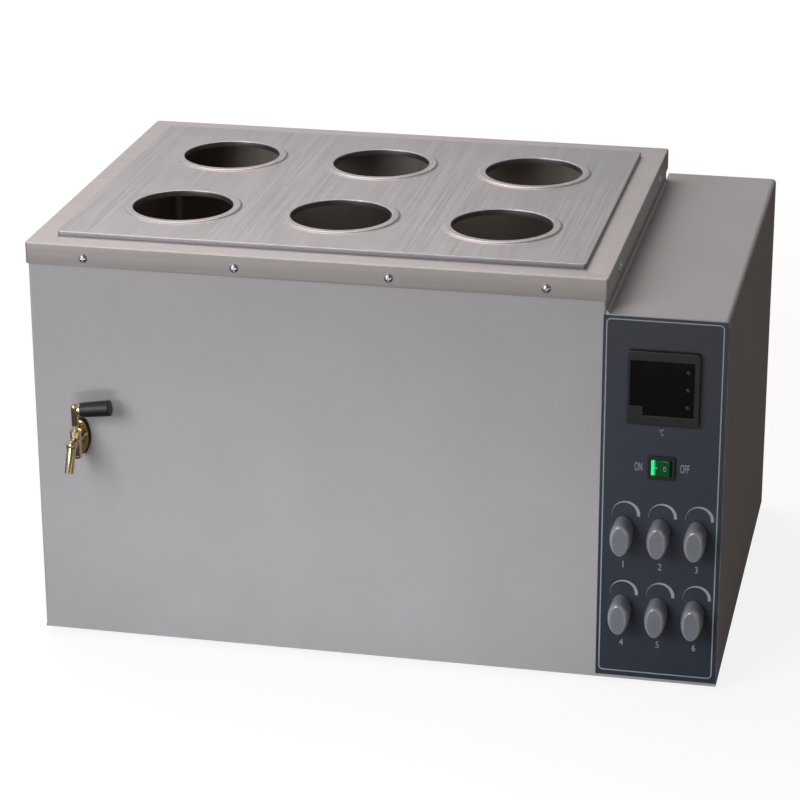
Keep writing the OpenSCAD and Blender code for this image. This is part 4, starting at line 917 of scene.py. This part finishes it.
class BATH_OT_panel(bpy.types.Operator):
    """Finishes the control panel and prints its border, scales, numbers and words"""

    bl_idname = "bath.panel"
    bl_label = "Control panel"

    def execute(self, context):
        dress(["panel_overlay"], size().film_edge)
        self.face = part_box("panel_overlay")[0].y
        self.border()
        for i in STATIONS:
            self.scale(i)
            self.number(i)
        self.words()
        return {"FINISHED"}

    def ink(self, bm, flat, name):
        """Gives flat print its thickness and stands it on the panel."""
        thicken(bm, flat, size().print_rise * OUT)
        settle(bm)
        piece(bm, name, [panel_ink()], "cabinet")

    def border(self):
        low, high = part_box("panel_overlay")
        left, right, foot, head = 2.4 * MM, 3.2 * MM, 4.2 * MM, 2.2 * MM
        bm = bmesh.new()
        loops = []
        for inset in (0, size().border_line):
            near = (low.x + left + inset, low.z + foot + inset)
            far = (high.x - right - inset, high.z - head - inset)
            corner = size().border_corner - inset
            loops += rectangle(bm, near, far, corner, lambda x, z: (x, self.face, z))
        self.ink(bm, bmesh.ops.bridge_loops(bm, edges=loops)["faces"], "panel_border")

    def scale(self, i):
        """A crescent over a knob that thickens to the right: two arcs whose centres are apart."""
        knob = joint_place(f"knob_{i}_turn")
        right, above = 2.3 * MM, 17 * MM
        outer, inner, apart = 12 * MM, 10.6 * MM, 1.2 * MM
        start, sweep = math.radians(-188), math.radians(194)
        middle = Vector((knob.x + right, self.face, knob.z + above))
        bm = bmesh.new()
        for radius, centre in ((outer, middle), (inner, middle - Vector((apart, 0, 0)))):
            tip = Vector((math.cos(start) * radius, 0, -math.sin(start) * radius))
            vert = bm.verts.new(centre + tip)
            bmesh.ops.spin(
                bm, geom=[vert], cent=centre, axis=-OUT, angle=sweep, steps=SCALE_STEPS, dvec=(0, 0, 0)
            )
        self.ink(bm, bmesh.ops.bridge_loops(bm, edges=bm.edges[:])["faces"], f"speed_scale_{i}")

    def number(self, i):
        knob = joint_place(f"knob_{i}_turn")
        right, below, squeeze = 1 * MM, 29 * MM, 0.85
        x, z = knob.x + right, knob.z - below
        self.letters(f"speed_number_{i}", str(i), x, z, size().number_height, squeeze)

    def words(self):
        """ON and OFF beside the switch, and the degree sign under the controller."""
        switch = sum(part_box("switch_body"), Vector()) / 2
        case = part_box("controller_case")[0]
        tall = size().letter_height
        self.letters("panel_on", "ON", switch.x - 19.3 * MM, switch.z - 0.4 * MM, tall, 0.4)
        self.letters("panel_off", "OFF", switch.x + 19.5 * MM, switch.z + 0.2 * MM, tall, 0.42)
        sign = size().degree_height
        self.letters("panel_degrees", "°C", switch.x - 1 * MM, case.z - 7.2 * MM, sign, 0.48)

    def letters(self, name, text, x, z, tall, squeeze):
        """Printed text of a given height, drawn narrower by a factor and centred on a point of the panel."""
        curve = bpy.data.curves.new(name, "FONT")
        curve.body = text
        sample = bpy.data.objects.new(name + "_text", curve)
        bpy.context.scene.collection.objects.link(sample)
        bpy.context.view_layer.update()
        shown = sample.evaluated_get(bpy.context.evaluated_depsgraph_get())
        mesh = bpy.data.meshes.new_from_object(shown)
        bpy.data.objects.remove(sample)
        bm = bmesh.new()
        bm.from_mesh(mesh)
        bpy.data.meshes.remove(mesh)
        across = [vert.co.x for vert in bm.verts]
        along = [vert.co.y for vert in bm.verts]
        centre = Vector(((min(across) + max(across)) / 2, (min(along) + max(along)) / 2, 0))
        scale = tall / (max(along) - min(along))
        stretch = Matrix.Diagonal((scale * squeeze, scale, 1, 1))
        stand = Matrix.Translation((x, self.face, z)) @ Matrix.Rotation(math.pi / 2, 4, "X")
        bmesh.ops.transform(bm, matrix=stand @ stretch @ Matrix.Translation(-centre), verts=bm.verts[:])
        self.ink(bm, bm.faces[:], name)


class BATH_OT_inlet(bpy.types.Operator):
    """Finishes the mains inlet and its blades"""

    bl_idname = "bath.inlet"
    bl_label = "Mains inlet"

    def execute(self, context):
        dress(["power_inlet", "inlet_blades"], size().small_edge)
        return {"FINISHED"}


class BATH_OT_stage(bpy.types.Operator):
    """Lays the floor, sets the light and places the camera"""

    bl_idname = "bath.stage"
    bl_label = "Stage"

    def execute(self, context):
        scene = context.scene
        scene.view_settings.view_transform = "Standard"
        self.floor(scene)
        self.world(scene)
        self.lights(scene)
        self.camera(scene)
        return {"FINISHED"}

    def floor(self, scene):
        bm = bmesh.new()
        bmesh.ops.create_grid(bm, x_segments=2, y_segments=2, size=scene.bath_stage.paper_size)
        mesh = bpy.data.meshes.new("floor")
        bm.to_mesh(mesh)
        bm.free()
        mesh.materials.append(self.paper(scene.bath_stage))
        made = bpy.data.objects.new("floor", mesh)
        scene.collection.objects.link(made)

    # Studio paper: white to the eye, whiter further out and dark under the bath, with the bath's soft shadow
    # kept. It lights the bath as a mid grey so that the shaded side stays shaded, and reflections see it dark
    # near the bath and pale in front.
    def paper(self, stage):
        made, tree, place = begin("studio_paper")
        path = add(tree, "LightPath").outputs

        glow_start, glow_end = 0.8, 2.2
        away = add(tree, "VectorMath", {0: place}, operation="LENGTH").outputs["Value"]
        far = add(tree, "MapRange", {
            "Value": away, "From Min": glow_start, "From Max": glow_end,
            "To Min": stage.glow_near, "To Max": stage.glow_far,
        })
        bright = add(tree, "Math", {0: far, 1: self.clear(tree, place)}, operation="MULTIPLY")
        lit = add(tree, "BsdfDiffuse", {"Color": tuple(stage.paper)})
        glow = add(tree, "Emission", {"Color": WHITE, "Strength": bright})
        pale = add(tree, "MixShader", {"Fac": stage.glow, 1: lit, 2: glow})

        pale_edge, dark_edge = -1.2, -1.05
        near, ahead = tuple(stage.mirror_near), tuple(stage.mirror_front)
        depth = add(tree, "SeparateXYZ", {"Vector": place}).outputs["Y"]
        front = add(tree, "MapRange", {
            "Value": depth, "From Min": pale_edge, "From Max": dark_edge, "To Min": 1.0, "To Max": 0.0
        })
        tone = add(tree, "MixRGB", {"Fac": front, "Color1": near, "Color2": ahead})
        mirrored = add(tree, "Emission", {"Color": tone, "Strength": stage.mirror_level})
        grey = add(tree, "BsdfDiffuse", {"Color": tuple(stage.bounce)})

        bounced = add(tree, "MixShader", {"Fac": path["Is Glossy Ray"], 1: grey, 2: mirrored})
        seen = add(tree, "MixShader", {"Fac": path["Is Camera Ray"], 1: bounced, 2: pale})
        add(tree, "OutputMaterial", {"Surface": seen})
        return made

    def clear(self, tree, place):
        """Zero in an oval under the cabinet, where the paper shows only through vents, and one outside."""
        low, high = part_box("housing_wrap")
        middle, half = (low + high) / 2, (high - low) / 2
        inner, outer = 0.7, 0.84
        under = add(tree, "Mapping", {
            "Vector": place, "Location": (middle.x, middle.y, 0), "Scale": (half.x, half.y, 1)
        }, vector_type="TEXTURE")
        spread = add(tree, "VectorMath", {0: under}, operation="LENGTH").outputs["Value"]
        return add(tree, "MapRange", {"Value": spread, "From Min": inner, "From Max": outer})

    # Surroundings: white to the eye, a little even warm light on the bath, and for reflections a pale wall on
    # the left that darkens to the right and towards the front.
    def world(self, scene):
        stage = scene.bath_stage
        scene.world = bpy.data.worlds.new("studio")
        scene.world.use_nodes = True
        tree = scene.world.node_tree
        tree.nodes.clear()
        path = add(tree, "LightPath").outputs
        way = add(tree, "SeparateXYZ", {"Vector": add(tree, "TexCoord").outputs["Generated"]}).outputs
        left = add(tree, "MapRange", {
            "Value": way["X"], "From Min": -0.55, "From Max": 0.15, "To Min": 0.9, "To Max": 0.35
        })
        rear = add(tree, "MapRange", {
            "Value": way["Y"], "From Min": -0.6, "From Max": 0.3, "To Min": 0.3, "To Max": 1.0
        })
        shown = add(tree, "Math", {0: left, 1: rear}, operation="MULTIPLY")
        even = add(tree, "Background", {"Color": tuple(stage.ambient_tint), "Strength": stage.ambient})
        wall = add(tree, "Background", {"Color": WHITE, "Strength": shown})
        white = add(tree, "Background", {"Color": WHITE, "Strength": 1.0})
        bounced = add(tree, "MixShader", {"Fac": path["Is Glossy Ray"], 1: even, 2: wall})
        seen = add(tree, "MixShader", {"Fac": path["Is Camera Ray"], 1: bounced, 2: white})
        add(tree, "OutputWorld", {"Surface": seen})

    def lights(self, scene):
        stage = scene.bath_stage
        middle = Vector(stage.camera_aim)
        self.lamp(scene, "front_light", stage.key_place, middle, stage.key_size, stage.key_power)
        top = self.lamp(scene, "top_light", stage.top_place, middle, stage.top_size, stage.top_power)
        top.data.color = stage.top_tint[:3]
        ahead = Vector(stage.low_place) - OUT
        low = self.lamp(scene, "low_light", stage.low_place, ahead, stage.low_size, stage.low_power)
        low.data.shape = "RECTANGLE"
        low.data.size_y = stage.low_height
        low.data.spread = stage.low_spread
        low.visible_glossy = False

    def lamp(self, scene, name, place, aim, wide, power):
        """A square soft light that faces a point."""
        light = bpy.data.lights.new(name, "AREA")
        light.energy = power
        light.size = wide
        made = bpy.data.objects.new(name, light)
        turn = (Vector(place) - aim).to_track_quat("Z", "Y")
        made.matrix_world = Matrix.Translation(place) @ turn.to_matrix().to_4x4()
        scene.collection.objects.link(made)
        return made

    def camera(self, scene):
        stage = scene.bath_stage
        lens = bpy.data.cameras.new("camera")
        lens.lens = stage.camera_lens
        lens.sensor_fit = "HORIZONTAL"
        made = bpy.data.objects.new("camera", lens)
        place = Vector(stage.camera_place)
        look = (Vector(stage.camera_aim) - place).to_track_quat("-Z", "Y")
        roll = Matrix.Rotation(stage.camera_roll, 4, "Z")
        made.matrix_world = Matrix.Translation(place) @ look.to_matrix().to_4x4() @ roll
        scene.collection.objects.link(made)
        scene.camera = made


class BATH_PT_pieces(bpy.types.Panel):
    """Lists the pieces of the bath"""

    bl_idname = "BATH_PT_pieces"
    bl_label = "Water Bath"
    bl_space_type = "VIEW_3D"
    bl_region_type = "UI"
    bl_category = "Water Bath"

    def draw(self, context):
        for made in PIECES:
            self.layout.operator(made.bl_idname)


PIECES = (
    BATH_OT_stage,
    BATH_OT_cabinet,
    BATH_OT_rim,
    BATH_OT_lid,
    BATH_OT_bath,
    BATH_OT_drives,
    BATH_OT_tap,
    BATH_OT_panel,
    BATH_OT_controller,
    BATH_OT_switch,
    BATH_OT_knobs,
    BATH_OT_inlet,
)
GROUPS = {"bath_sizes": BathSizes, "bath_colours": BathColours, "bath_stage": BathStage}
CLASSES = (*GROUPS.values(), *PIECES, BATH_PT_pieces)


def register():
    for item in CLASSES:
        bpy.utils.register_class(item)
    for name, group in GROUPS.items():
        setattr(bpy.types.Scene, name, PointerProperty(type=group))


def unregister():
    for name in GROUPS:
        delattr(bpy.types.Scene, name)
    for item in reversed(CLASSES):
        bpy.utils.unregister_class(item)


def main():
    register()
    for made in PIECES:
        group, action = made.bl_idname.split(".")
        getattr(getattr(bpy.ops, group), action)()


if __name__ == "__main__":
    main()
